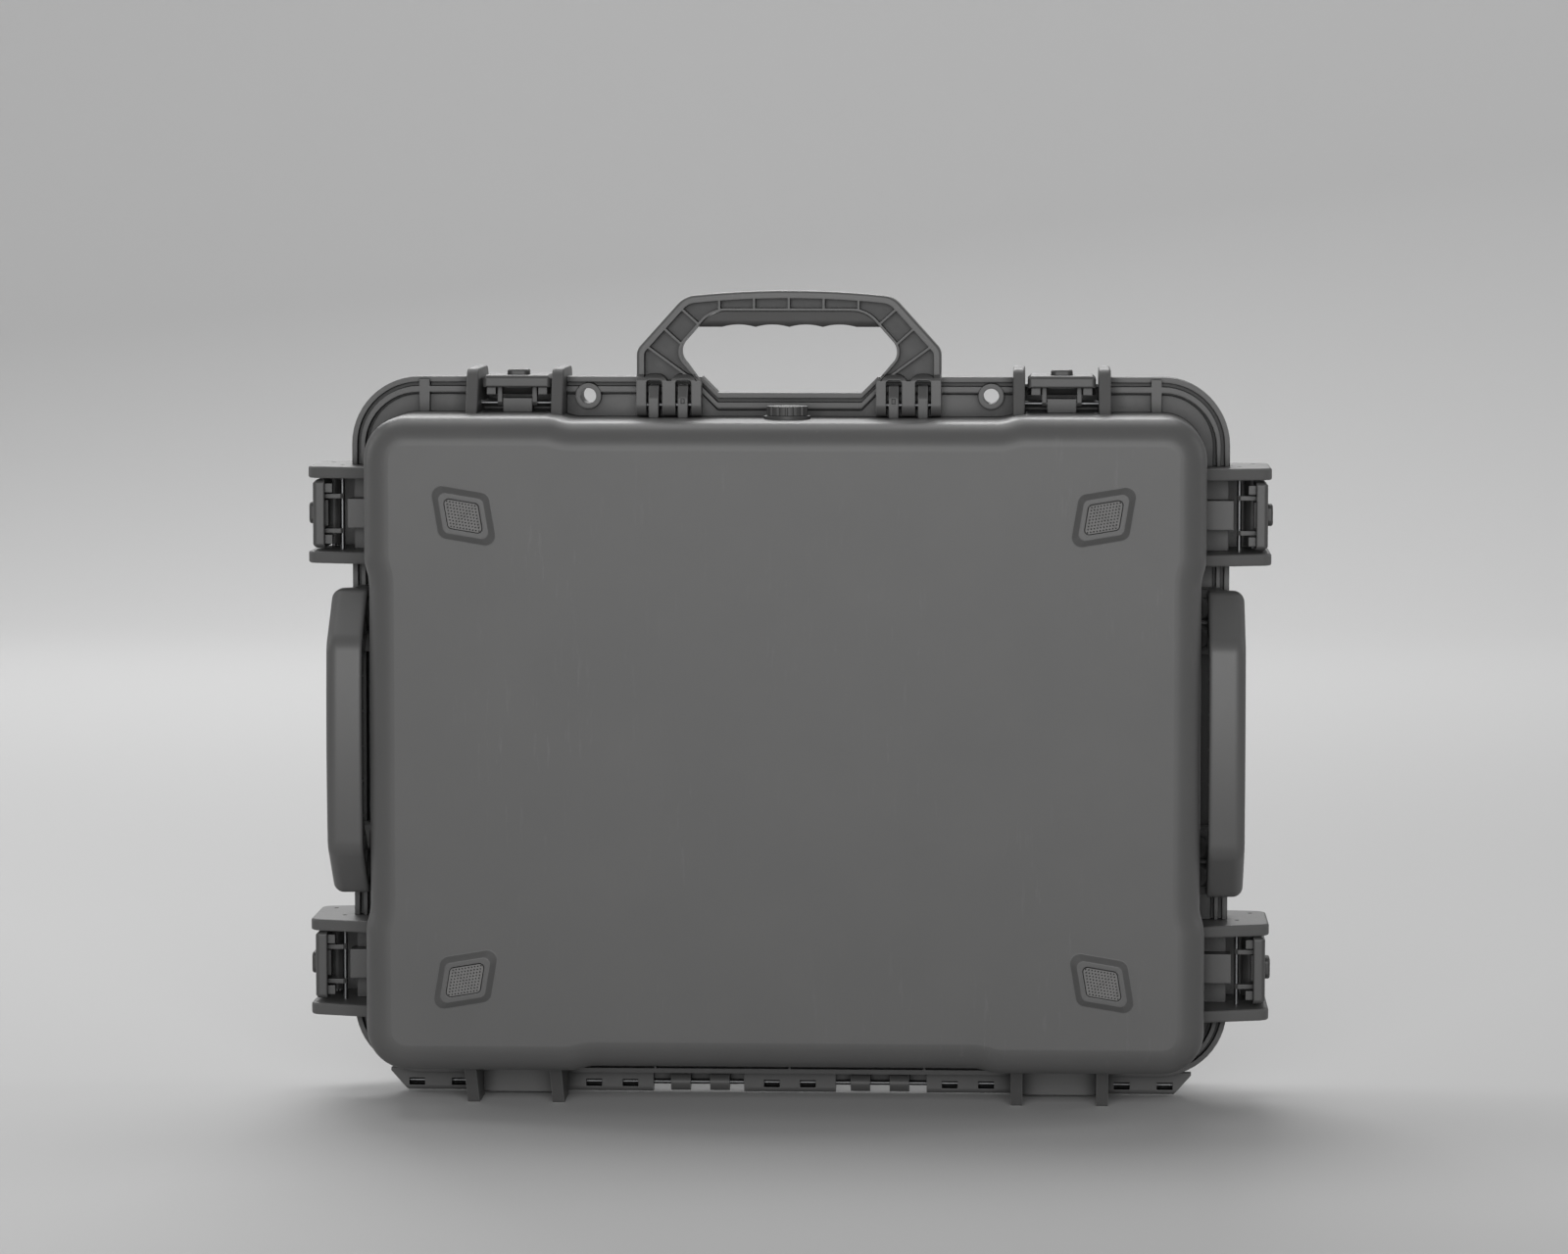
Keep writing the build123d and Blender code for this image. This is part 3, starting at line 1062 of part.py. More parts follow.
with BuildPart() as valve_knob:
    underside = VALVE_FLANGE + SEAL_SETTLE
    with BuildSketch(Plane.XY.offset(underside)):
        Circle(VALVE_KNOB_RADIUS)
        with PolarLocations(VALVE_KNOB_RADIUS + VALVE_NOTCH_RADIUS / 2, VALVE_NOTCHES):
            Circle(VALVE_NOTCH_RADIUS, mode=Mode.SUBTRACT)
    extrude(amount=VALVE_KNOB_TOP - underside)
    with BuildSketch(Plane.XY.offset(underside)):
        Circle(VALVE_POST_RADIUS)
    extrude(amount=-underside - WALL - VALVE_NUT)
    length, width, depth = VALVE_COIN_SLOT
    with BuildSketch(Plane.XY.offset(VALVE_KNOB_TOP)):
        RectangleRounded(length, width, width / 2.1)
    extrude(amount=-depth, mode=Mode.SUBTRACT)

# ------------------------------------------------------------------ foam
BLOCK_Y = Y_FACE + WALL + BASE_PAD + FOAM_CLEAR
BLOCK_TOP = Y_PART - 3 * FOAM_CLEAR
POCKET_FLOOR = BLOCK_TOP - POCKET_DEPTH


def foam_plan(y):
    """Plan of a foam block that fills a shell."""
    w, h = CAVITY_WIDTH - 2 * FOAM_CLEAR, CAVITY_HEIGHT - 2 * FOAM_CLEAR
    with BuildSketch(face_plane(y)) as plan:
        RectangleRounded(w, h, CAVITY_CORNER - FOAM_CLEAR)
    return plan.sketch


with BuildPart() as base_pad:
    with BuildSketch(face_plane(Y_FACE + WALL)):
        flat_width, flat_height = CAVITY_WIDTH - 2 * CAVITY_EDGE, CAVITY_HEIGHT - 2 * CAVITY_EDGE
        RectangleRounded(flat_width, flat_height, CAVITY_CORNER - CAVITY_EDGE)
    extrude(amount=BASE_PAD, dir=TO_LID)

with BuildPart() as base_foam:
    extrude(foam_plan(BLOCK_Y), amount=BLOCK_TOP - BLOCK_Y, dir=TO_LID)
    with BuildSketch(face_plane(POCKET_FLOOR)):
        RectangleRounded(LAPTOP_WIDTH, LAPTOP_HEIGHT, LAPTOP_CORNER)
    extrude(amount=POCKET_DEPTH, dir=TO_LID, mode=Mode.SUBTRACT)
    with BuildSketch(face_plane(BLOCK_TOP - THUMB_DEPTH)):
        with GridLocations(LAPTOP_WIDTH, 1, 2, 1):
            RectangleRounded(2 * THUMB_REACH, THUMB_WIDTH, THUMB_REACH / 2)
    extrude(amount=THUMB_DEPTH, dir=TO_LID, mode=Mode.SUBTRACT)
    room = 2 * (VALVE_NUT_RADIUS + FOAM_ROOM)
    with Locations((0, VALVE.origin.Y, CENTRE_Z + CAVITY_HEIGHT / 2)):
        Box(room, room, 2 * (VALVE_NUT + VALVE_HUB_PROUD + FOAM_ROOM), mode=Mode.SUBTRACT)

with BuildPart() as lid_foam:
    back = foam_plan(Y_LID_FACE - LID_FACE_WALL - FOAM_CLEAR)
    extrude(back, amount=LID_FOAM, dir=(0, -1, 0))
    fillet(lid_foam.faces().sort_by(Axis.Y)[-1].edges(), FOAM_EDGE)

# ------------------------------------------------------------------ pieces in their places
pieces = {
    "base_shell": base_shell.part,
    "lid_shell": lid_shell.part,
    "lid_gasket": lid_gasket.part,
    "hinge_pin": hinge_pin.part,
    "keeper_rods": keeper_rods.part,
    "lever_pins": lever_pins.part,
    "handle_pins": handle_pins.part,
    "valve_body": valve_body.part.moved(VALVE.location),
    "valve_seal": valve_seal.part.moved(VALVE.location),
    "valve_nut": valve_nut.part.moved(VALVE.location),
    "valve_membrane": valve_membrane.part.moved(VALVE.location),
    "valve_knob": valve_knob.part.moved(VALVE.location),
    "base_pad": base_pad.part,
    "base_foam": base_foam.part,
    "lid_foam": lid_foam.part,
}
for number, pad in enumerate(foot_pads, 1):
    pieces[f"foot_pad_{number}"] = pad
for name, plane in HANDLES.items():
    pieces[f"{name}_handle_frame"] = handle_frame.part.moved(plane.location)
    pieces[f"{name}_handle_grip"] = handle_grip.part.moved(plane.location)
for name, latch in LATCHES.items():
    pieces[f"latch_lever_{name}"] = lever.part.moved(latch.plane.location)
    pieces[f"release_button_{name}"] = button.part.moved(latch.plane.location)
    pieces[f"button_spring_{name}"] = button_spring.part.moved(latch.plane.location)

os.makedirs("parts", exist_ok=True)
for name, piece in pieces.items():
    piece.label = name
    export_step(piece, f"parts/{name}.step")
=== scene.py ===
# %% [markdown]
# # A laptop hard case, dressed for the studio
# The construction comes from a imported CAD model: two moulded shells on a long hinge pin, six push-button
# latches, three folding handles, a pressure valve, rubber feet, a gasket and foam. This notebook loads
# that model, gives every moulding, pin and rubber part its own procedural finish, rebuilds the soft foam
# as foam, and sets up a plain studio. Everything is in metres. The case stands on its hinge side: +Z is
# up, and the underside of the base faces -Y.

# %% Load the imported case
import math

import bpy
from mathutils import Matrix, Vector, noise


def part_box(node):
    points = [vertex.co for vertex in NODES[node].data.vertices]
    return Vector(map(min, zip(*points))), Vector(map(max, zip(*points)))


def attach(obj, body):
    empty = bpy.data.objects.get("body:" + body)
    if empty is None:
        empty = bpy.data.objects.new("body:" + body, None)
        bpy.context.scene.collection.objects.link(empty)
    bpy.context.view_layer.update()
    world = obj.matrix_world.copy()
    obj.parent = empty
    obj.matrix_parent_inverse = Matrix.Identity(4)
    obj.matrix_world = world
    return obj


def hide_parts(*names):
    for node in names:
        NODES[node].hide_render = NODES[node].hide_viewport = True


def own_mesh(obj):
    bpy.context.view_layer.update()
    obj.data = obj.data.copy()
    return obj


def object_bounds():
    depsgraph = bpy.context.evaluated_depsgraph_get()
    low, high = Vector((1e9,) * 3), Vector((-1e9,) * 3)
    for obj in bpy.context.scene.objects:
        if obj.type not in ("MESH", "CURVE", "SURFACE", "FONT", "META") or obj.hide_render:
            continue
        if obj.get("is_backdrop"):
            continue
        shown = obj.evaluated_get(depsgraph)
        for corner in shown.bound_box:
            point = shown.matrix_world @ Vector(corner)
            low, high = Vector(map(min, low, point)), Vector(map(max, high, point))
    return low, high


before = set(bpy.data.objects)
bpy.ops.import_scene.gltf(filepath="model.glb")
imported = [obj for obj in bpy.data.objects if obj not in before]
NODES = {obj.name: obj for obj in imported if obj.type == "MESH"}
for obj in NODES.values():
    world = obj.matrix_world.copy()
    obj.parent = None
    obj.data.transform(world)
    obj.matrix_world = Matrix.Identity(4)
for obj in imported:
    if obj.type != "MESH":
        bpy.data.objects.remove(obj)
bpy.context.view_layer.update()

# %% [markdown]
# ## Small helpers
# An operator works on whatever is selected, and the loader leaves every node selected. So each modelling
# step starts by clearing the selection, and picks its own object. `lay_down` bakes an object's place into
# its mesh, because a finished piece sits at the origin, unturned and unscaled.

# %% Selecting and settling objects
def pick_only(piece):
    bpy.ops.object.select_all(action="DESELECT")
    piece.select_set(True)
    bpy.context.view_layer.objects.active = piece
    return piece


def lay_down(piece):
    pick_only(piece)
    bpy.ops.object.transform_apply(location=True, rotation=True, scale=True)
    return piece


def apply_all(piece):
    pick_only(piece)
    for modifier in list(piece.modifiers):
        bpy.ops.object.modifier_apply(modifier=modifier.name)
    return piece


bpy.ops.object.select_all(action="DESELECT")
print("selected", len(bpy.context.selected_objects))

# %% [markdown]
# ## Wiring shader nodes
# A finish is a small network of nodes. Two helpers build it. `add_node` makes a node with its settings.
# `feed` fills a socket, either with a link from another node's output or with a plain value.

# %% Adding and feeding nodes
def add_node(tree, kind, **settings):
    """Add a node. A setting is the value of an input of that name, or else a property of the node."""
    node = tree.nodes.new(kind)
    for key, value in settings.items():
        if key in node.inputs:
            node.inputs[key].default_value = value
        else:
            setattr(node, key, value)
    return node


def feed(socket, source):
    if isinstance(source, bpy.types.NodeSocket):
        socket.id_data.links.new(source, socket)
    else:
        socket.default_value = source


print("node helpers", add_node.__name__, feed.__name__)

# %% [markdown]
# Most of a finish is the same few steps: some arithmetic, a value stretched to another range, two colours
# mixed by a mask, a noise of a given size, a bump. Each step here is a function that adds its node, feeds
# it and returns its output, so that a finish reads from the top down like a recipe.

# %% Steps of a finish
def maths(tree, operation, first, second, clamp=False):
    node = add_node(tree, "ShaderNodeMath", operation=operation, use_clamp=clamp)
    feed(node.inputs[0], first)
    feed(node.inputs[1], second)
    return node.outputs["Value"]


def ranged(tree, value, old=(0.0, 1.0), new=(0.0, 1.0), kind="LINEAR"):
    """Stretch a value from one range to another, and hold it there."""
    node = add_node(tree, "ShaderNodeMapRange", interpolation_type=kind)
    feed(node.inputs["Value"], value)
    node.inputs["From Min"].default_value, node.inputs["From Max"].default_value = old
    node.inputs["To Min"].default_value, node.inputs["To Max"].default_value = new
    return node.outputs["Result"]


def mixed(tree, mask, first, second):
    """Mix two colours: the first where the mask is 0, the second where it is 1."""
    node = add_node(tree, "ShaderNodeMix", data_type="RGBA")
    feed(node.inputs["Factor"], mask)
    feed(node.inputs["A"], first)
    feed(node.inputs["B"], second)
    return node.outputs["Result"]


def place_on_piece(tree):
    return add_node(tree, "ShaderNodeTexCoord").outputs["Object"]


def noise_of_size(tree, place, size, **settings):
    """Noise whose waves are about `size` metres long."""
    node = add_node(tree, "ShaderNodeTexNoise", **settings)
    feed(node.inputs["Vector"], place)
    feed(node.inputs["Scale"], maths(tree, "DIVIDE", 1.0, size))
    return node.outputs["Fac"]


def bumped(tree, height, strength, depth, normal=None):
    """Press a height into the shading normal, on top of another normal where one is given."""
    node = add_node(tree, "ShaderNodeBump", Strength=strength, Distance=depth)
    feed(node.inputs["Height"], height)
    if normal is not None:
        feed(node.inputs["Normal"], normal)
    return node.outputs["Normal"]


print("steps", [step.__name__ for step in (maths, ranged, mixed, noise_of_size, bumped)])

# %% [markdown]
# ## Shader groups
# Several finishes share the same effects, so each effect is one node group with named inputs. A group
# gives only masks, values and normals. The Principled shader itself stays in each material.
#
# *Moulded grain* is the fine spark-eroded texture that a steel mould leaves on plastic. Two noises of
# different size make it: the fine one is the grain, the wide one the slight unevenness of a big wall.

# %% Group: moulded grain
def new_group(name, inputs, outputs):
    """A node group with number inputs, as label: first value, and outputs, as label: kind of socket."""
    group = bpy.data.node_groups.new(name, "ShaderNodeTree")
    for label, value in inputs.items():
        socket = group.interface.new_socket(label, in_out="INPUT", socket_type="NodeSocketFloat")
        socket.default_value = value
    for label, kind in outputs.items():
        group.interface.new_socket(label, in_out="OUTPUT", socket_type=kind)
    start = group.nodes.new("NodeGroupInput")
    end = group.nodes.new("NodeGroupOutput")
    return group, start.outputs, end.inputs


VALUE, NORMAL = "NodeSocketFloat", "NodeSocketVector"

grain_group, given, result = new_group(
    "Moulded grain",
    {"Grain Size": 0.0006, "Wave Size": 0.06},
    {"Grain": VALUE, "Wave": VALUE},
)
place = place_on_piece(grain_group)
fine = noise_of_size(grain_group, place, given["Grain Size"], Detail=2.0, Roughness=0.6)
wide = noise_of_size(grain_group, place, given["Wave Size"], Detail=3.0, Roughness=0.5)
feed(result["Grain"], fine)
feed(result["Wave"], wide)
print("group", grain_group.name, "nodes", len(grain_group.nodes))

# %% [markdown]
# *Soft edges* finds the edges of a moulding. A Bevel node rounds the shading normal over a small radius,
# as the real tool radius does. Where that normal leaves the true one, there is an edge, so the same node
# also gives a mask for paler edges: partly the rub that edges collect, partly a painted highlight.

# %% Group: soft edges
BEVEL_SAMPLES = 6

edge_group, given, result = new_group(
    "Soft edges",
    {"Radius": 0.0008, "Sharpness": 6.0},
    {"Normal": NORMAL, "Edge": VALUE},
)
round_off = add_node(edge_group, "ShaderNodeBevel", samples=BEVEL_SAMPLES)
true_side = add_node(edge_group, "ShaderNodeNewGeometry")
agree = add_node(edge_group, "ShaderNodeVectorMath", operation="DOT_PRODUCT")
feed(round_off.inputs["Radius"], given["Radius"])
feed(agree.inputs[0], round_off.outputs["Normal"])
feed(agree.inputs[1], true_side.outputs["Normal"])
turned = maths(edge_group, "SUBTRACT", 1.0, agree.outputs["Value"])
feed(result["Normal"], round_off.outputs["Normal"])
feed(result["Edge"], maths(edge_group, "MULTIPLY", turned, given["Sharpness"], clamp=True))
print("group", edge_group.name, "nodes", len(edge_group.nodes))

# %% [markdown]
# *Handling marks* are the faint scuffs and dust that make plastic look used: streaks stretched along one
# direction, broken up by a coarser noise so that they come in patches.

# %% Group: handling marks
STREAK_TURN = (0.3, 0.5, 0.7)
STREAK_STRETCH = (1.0, 1.0, 0.12)
STREAK_CUT = (0.58, 0.72)
PATCH_CUT = (0.45, 0.7)

marks_group, given, result = new_group(
    "Handling marks",
    {"Streak Size": 0.004, "Patch Size": 0.09, "Amount": 0.5},
    {"Marks": VALUE},
)
place = place_on_piece(marks_group)
drawn_out = add_node(marks_group, "ShaderNodeMapping", Rotation=STREAK_TURN, Scale=STREAK_STRETCH)
feed(drawn_out.inputs["Vector"], place)
along = drawn_out.outputs["Vector"]
streaks = noise_of_size(marks_group, along, given["Streak Size"], Detail=6.0, Roughness=0.7)
patches = noise_of_size(marks_group, place, given["Patch Size"], Detail=2.0)
few_streaks = ranged(marks_group, streaks, STREAK_CUT)
few_patches = ranged(marks_group, patches, PATCH_CUT)
both = maths(marks_group, "MULTIPLY", few_streaks, few_patches)
feed(result["Marks"], maths(marks_group, "MULTIPLY", both, given["Amount"], clamp=True))
print("group", marks_group.name, "nodes", len(marks_group.nodes))

# %% [markdown]
# *Painted shade in recesses*: a groove or a latch well gets a darker colour than the open wall beside it,
# as painted shade. Ambient Occlusion, limited to a short reach and to the piece itself, finds such places.

# %% Group: painted shade in recesses
OCCLUSION_SAMPLES = 8
SHUT_TO_OPEN = (0.4, 0.92)

# An Ambient Occlusion mask for painted shade in grooves and latch wells.
recess_shade_group, given, result = new_group("Painted recess shade", {"Reach": 0.012}, {"Recess Shade": VALUE})
openness = add_node(
    recess_shade_group, "ShaderNodeAmbientOcclusion", samples=OCCLUSION_SAMPLES, only_local=True
)
feed(openness.inputs["Distance"], given["Reach"])
shut = ranged(recess_shade_group, openness.outputs["AO"], SHUT_TO_OPEN, (1.0, 0.0), "SMOOTHSTEP")
feed(result["Recess Shade"], shut)
print("group", recess_shade_group.name, "nodes", len(recess_shade_group.nodes))

# %% [markdown]
# ## Materials
# A material keeps the Principled shader in its own tree. What is the same all over a piece goes straight on
# the shader's sockets, and what changes over the surface comes from nodes and from the groups above.

# %% Helpers for materials
def new_finish(name, constants):
    material = bpy.data.materials.new(name)
    material.use_nodes = True
    shader = material.node_tree.nodes["Principled BSDF"]
    for label, value in constants.items():
        shader.inputs[label].default_value = value
    return material, material.node_tree, shader.inputs


def place_group(tree, group, **values):
    """Place a group in a material with its own values, and give its outputs."""
    node = tree.nodes.new("ShaderNodeGroup")
    node.node_tree = group
    for label, value in values.items():
        node.inputs[label.replace("_", " ")].default_value = value
    return node.outputs


def grey(level, warmth=0.0):
    return (level * (1 + warmth), level, level * (1 - warmth), 1.0)


print("groups", [group.name for group in bpy.data.node_groups])

# %% [markdown]
# ## Moulded plastic
# Shells, handles, levers, buttons and valve are all injection-moulded plastic, in slightly different
# greys and grains. One function builds such a finish from the four groups. The wave shifts the colour a
# little, edges turn slightly paler, partly from rub and partly as a painted highlight, scuffs paler again,
# and recesses darker as painted shade. The grain varies the roughness, and goes into a bump on top of the
# rounded normal.
#
# The bars of the two side handles are thick and round, so their edges get a wide radius and no paler edge
# colour: no rub and no painted highlight.

# %% Finish: moulded plastic
PLASTIC = {"IOR": 1.49, "Specular IOR Level": 0.27}
COLOUR_DRIFT, DRIFT_WARMTH = 0.07, 0.01
# Edges turn paler: partly rub, partly a painted highlight.
EDGE_RUB_AND_HIGHLIGHT = 2.2
SCUFF_LIFT = 1.7
# Recesses turn darker: this is painted shade.
RECESS_PAINTED_SHADE = 0.08
GRAIN_STRENGTH, GRAIN_DEPTH = 0.6, 0.00006
SHINIER, DULLER = 0.05, 0.07


def moulded_plastic(name, level, rough, grain=0.0006, edge=0.0008, marks=0.35, lift=EDGE_RUB_AND_HIGHLIGHT):
    material, tree, skin = new_finish(name, PLASTIC)
    grains = place_group(tree, grain_group, Grain_Size=grain)
    edges = place_group(tree, edge_group, Radius=edge)
    scuffs = place_group(tree, marks_group, Amount=marks)
    recess_shade = place_group(tree, recess_shade_group)

    paler_wall = grey(level * (1 + COLOUR_DRIFT), DRIFT_WARMTH)
    wall = mixed(tree, grains["Wave"], grey(level * (1 - COLOUR_DRIFT)), paler_wall)
    # Paler edges: partly rub, partly a painted highlight.
    rubbed_and_highlit = mixed(tree, edges["Edge"], wall, grey(level * lift))
    scuffed = mixed(tree, scuffs["Marks"], rubbed_and_highlit, grey(level * SCUFF_LIFT))
    # Painted shade: grooves and latch wells turn nearly black.
    with_recess_shade = mixed(tree, recess_shade["Recess Shade"], scuffed, grey(level * RECESS_PAINTED_SHADE))
    feed(skin["Base Color"], with_recess_shade)
    feed(skin["Roughness"], ranged(tree, grains["Grain"], new=(rough - SHINIER, rough + DULLER)))
    relief = bumped(tree, grains["Grain"], GRAIN_STRENGTH, GRAIN_DEPTH, edges["Normal"])
    feed(skin["Normal"], relief)
    return material


tub_finish = moulded_plastic("Tub plastic", 0.083, 0.40, grain=0.0007, edge=0.0010)
handle_finish = moulded_plastic("Handle plastic", 0.083, 0.38)
side_handle_finish = moulded_plastic("Side handle plastic", 0.083, 0.38, edge=0.0032, lift=1.0)
lever_finish = moulded_plastic("Lever plastic", 0.065, 0.38, edge=0.0007)
button_finish = moulded_plastic("Button plastic", 0.05, 0.38, edge=0.0006, marks=0.2)
valve_finish = moulded_plastic("Valve plastic", 0.06, 0.4, edge=0.0005, marks=0.2)
print("plastics", [m.name for m in bpy.data.materials if "plastic" in m.name])

# %% [markdown]
# ## Drawn steel
# The hinge pin, the keeper rods and the pins of handles and levers are drawn wire. Drawing leaves fine
# scratches along the wire, and most of it lies along X. A noise stretched along X, and fine across it,
# gives that. It drives the tint, the roughness and a light bump.

# %% Finish: drawn steel
SCRATCHES_PER_METRE = (120.0, 2600.0, 2600.0)
STEEL_DARK = (0.08, 0.081, 0.083, 1)
STEEL_PALE = (0.14, 0.142, 0.145, 1)
STEEL_ROUGH = (0.32, 0.5)
SCRATCH_STRENGTH, SCRATCH_DEPTH = 0.3, 0.00002

steel_finish, tree, skin = new_finish("Drawn steel", {"Metallic": 1.0})
drawn_out = add_node(tree, "ShaderNodeMapping", Scale=SCRATCHES_PER_METRE)
feed(drawn_out.inputs["Vector"], place_on_piece(tree))
scratch = noise_of_size(tree, drawn_out.outputs["Vector"], 1.0, Detail=3.0)
feed(skin["Base Color"], mixed(tree, scratch, STEEL_DARK, STEEL_PALE))
feed(skin["Roughness"], ranged(tree, scratch, new=STEEL_ROUGH))
feed(skin["Normal"], bumped(tree, scratch, SCRATCH_STRENGTH, SCRATCH_DEPTH))
print(steel_finish.name, "nodes", len(tree.nodes))

# %% [markdown]
# ## Rubber
# The grips, the foot pads and the seals are soft rubber: rough, with a dusty bloom in places. The grips
# and seals are dark, and the foot pads are a middle grey. The dimples of a pad are small, and painted
# shade gives them a nearly black finish of their own.

# %% Finish: rubber
RUBBER = {"IOR": 1.52, "Specular IOR Level": 0.3}
RUBBER_GRAIN, BLOOM_SIZE, RUBBER_EDGE = 0.0004, 0.012, 0.0006
BLOOM_WARMTH, BLOOM_ROUGHER = 0.02, 0.08
RUBBER_STRENGTH, RUBBER_DEPTH = 0.5, 0.00005


def soft_rubber(name, level, rough=0.72, bloom=1.5):
    material, tree, skin = new_finish(name, RUBBER)
    grains = place_group(tree, grain_group, Grain_Size=RUBBER_GRAIN, Wave_Size=BLOOM_SIZE)
    edges = place_group(tree, edge_group, Radius=RUBBER_EDGE)
    dusty = mixed(tree, grains["Wave"], grey(level), grey(level * bloom, BLOOM_WARMTH))
    gloss = ranged(tree, grains["Wave"], new=(rough - BLOOM_ROUGHER, rough + BLOOM_ROUGHER))
    relief = bumped(tree, grains["Grain"], RUBBER_STRENGTH, RUBBER_DEPTH, edges["Normal"])
    feed(skin["Base Color"], dusty)
    feed(skin["Roughness"], gloss)
    feed(skin["Normal"], relief)
    return material


grip_finish = soft_rubber("Grip rubber", 0.045, 0.6)
foot_finish = soft_rubber("Foot rubber", 0.14, bloom=1.2)
# Painted shade: the dimples' finish is nearly black.
dimple_shade_finish = soft_rubber("Foot rubber with painted shade in the dimples", 0.02, bloom=1.2)
seal_finish = soft_rubber("Seal rubber", 0.018)
print("rubbers", [m.name for m in bpy.data.materials if "rubber" in m.name])

# %% [markdown]
# ## Dress the CAD nodes
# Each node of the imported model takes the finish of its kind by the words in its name, and the first match
# counts. The foams, the foot pads and the springs are left out, because pieces made further down take
# their places.

# %% Hand out the finishes
FINISH_OF = [
    ("grip", grip_finish),
    ("gasket", seal_finish),
    ("seal", seal_finish),
    ("membrane", seal_finish),
    ("shell", tub_finish),
    ("left_handle_frame", side_handle_finish),
    ("right_handle_frame", side_handle_finish),
    ("front_handle_frame", handle_finish),
    ("pin", steel_finish),
    ("rods", steel_finish),
    ("latch_lever", lever_finish),
    ("release_button", button_finish),
    ("valve", valve_finish),
]
dressed = 0
for name, node in NODES.items():
    finish = next((f for word, f in FINISH_OF if word in name), None)
    if finish:
        node.data.materials.clear()
        node.data.materials.append(finish)
        dressed += 1
print("dressed", dressed, "of", len(NODES))

# %% [markdown]
# ## Foam
# The blocks inside the case are soft open-cell foam, cut with a hot wire. Its finish is mostly pores: a
# Voronoi pattern at the size of foam cells, with a finer one added, darkens the colour at each pore as
# painted shade and drives the bump. A wider noise makes the patchy light and dark that foam has.

# %% Finish: open-cell foam
FOAM = {"Specular IOR Level": 0.12, "Roughness": 0.95, "Sheen Weight": 0.15, "Sheen Roughness": 0.6}
FOAM_LEVEL = 0.085
PORE = 0.0011
FINER, FINE_SHARE = 2.2, 0.45
PORE_TO_WALL = (0.12, 0.85)
FOAM_GRAIN, FOAM_PATCH = 0.004, 0.05
PATCH_DARK, PATCH_PALE, PATCH_WARMTH, PORE_SHADE = 0.86, 1.16, 0.01, 0.35
PORE_STRENGTH, PORE_DEPTH = 0.8, 0.0004

foam_finish, tree, skin = new_finish("Charcoal foam", FOAM)
place = place_on_piece(tree)
pores = add_node(tree, "ShaderNodeTexVoronoi", Scale=1 / PORE, Randomness=1.0)
fine_pores = add_node(tree, "ShaderNodeTexVoronoi", Scale=FINER / PORE, Randomness=1.0)
feed(pores.inputs["Vector"], place)
feed(fine_pores.inputs["Vector"], place)
both = add_node(tree, "ShaderNodeMath", operation="MULTIPLY_ADD")
feed(both.inputs[0], fine_pores.outputs["Distance"])
feed(both.inputs[1], FINE_SHARE)
feed(both.inputs[2], pores.outputs["Distance"])
walls = ranged(tree, both.outputs["Value"], PORE_TO_WALL)
grains = place_group(tree, grain_group, Grain_Size=FOAM_GRAIN, Wave_Size=FOAM_PATCH)
dark_patch = grey(FOAM_LEVEL * PATCH_DARK)
pale_patch = grey(FOAM_LEVEL * PATCH_PALE, PATCH_WARMTH)
patchy = mixed(tree, grains["Wave"], dark_patch, pale_patch)
# Painted shade: the colour darkens in each pore.
feed(skin["Base Color"], mixed(tree, walls, grey(FOAM_LEVEL * PORE_SHADE), patchy))
feed(skin["Normal"], bumped(tree, walls, PORE_STRENGTH, PORE_DEPTH))
print(foam_finish.name, "nodes", len(tree.nodes))

# %% [markdown]
# A wire-cut edge in foam is never sharp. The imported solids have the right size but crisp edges, so each
# block starts as a copy of its solid. The copy's loose triangles are merged, a voxel Remesh gives it an
# even skin, and a few smoothing steps round its edges.

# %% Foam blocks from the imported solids
MERGE_NEAR = 0.000005
FOAM_VOXEL = 0.0034


def copy_of(node_name, name):
    """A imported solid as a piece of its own, with its triangles joined and no finish."""
    piece = bpy.data.objects.new(name, NODES[node_name].data.copy())
    bpy.context.scene.collection.objects.link(piece)
    piece.data.materials.clear()
    pick_only(piece)
    bpy.ops.object.mode_set(mode="EDIT")
    bpy.ops.mesh.select_all(action="SELECT")
    bpy.ops.mesh.remove_doubles(threshold=MERGE_NEAR)
    bpy.ops.mesh.normals_make_consistent(inside=False)
    bpy.ops.object.mode_set(mode="OBJECT")
    return piece


def foam_copy(node_name, name, steps):
    piece = copy_of(node_name, name)
    skin = piece.modifiers.new("Skin", "REMESH")
    skin.mode = "VOXEL"
    skin.voxel_size = FOAM_VOXEL
    soften = piece.modifiers.new("Soften", "SMOOTH")
    soften.factor = 0.5
    soften.iterations = steps
    return apply_all(piece)


base_block = foam_copy("base_foam", "foam_block_base", 3)
lid_block = foam_copy("lid_foam", "foam_block_lid", 3)
bottom_pad = foam_copy("base_pad", "foam_pad_bottom", 2)
for piece in (base_block, lid_block, bottom_pad):
    print(piece.name, "faces", len(piece.data.polygons))

# %% [markdown]
# The lid's block is convoluted foam: its inner face is cut into rows of soft peaks that press on the
# laptop. The face is the product of two cosines, one along X and one along Z. Only the skin near the flat
# face moves, always inwards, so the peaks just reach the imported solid's face. Towards the rim the pattern
# fades out.

# %% Peaks of the lid's foam
PEAK_PITCH = 0.036
PEAK_DEPTH = 0.015
MOVING_SKIN = 0.012
FLAT_BORDER = 0.012
FADE = 0.02


def edge_fade(place, low, high):
    """0 at the block's border, 1 well inside it."""
    inside = min(place.x - low.x, high.x - place.x, place.z - low.z, high.z - place.z)
    share = min(max((inside - FLAT_BORDER) / FADE, 0.0), 1.0)
    return share * share * (3 - 2 * share)


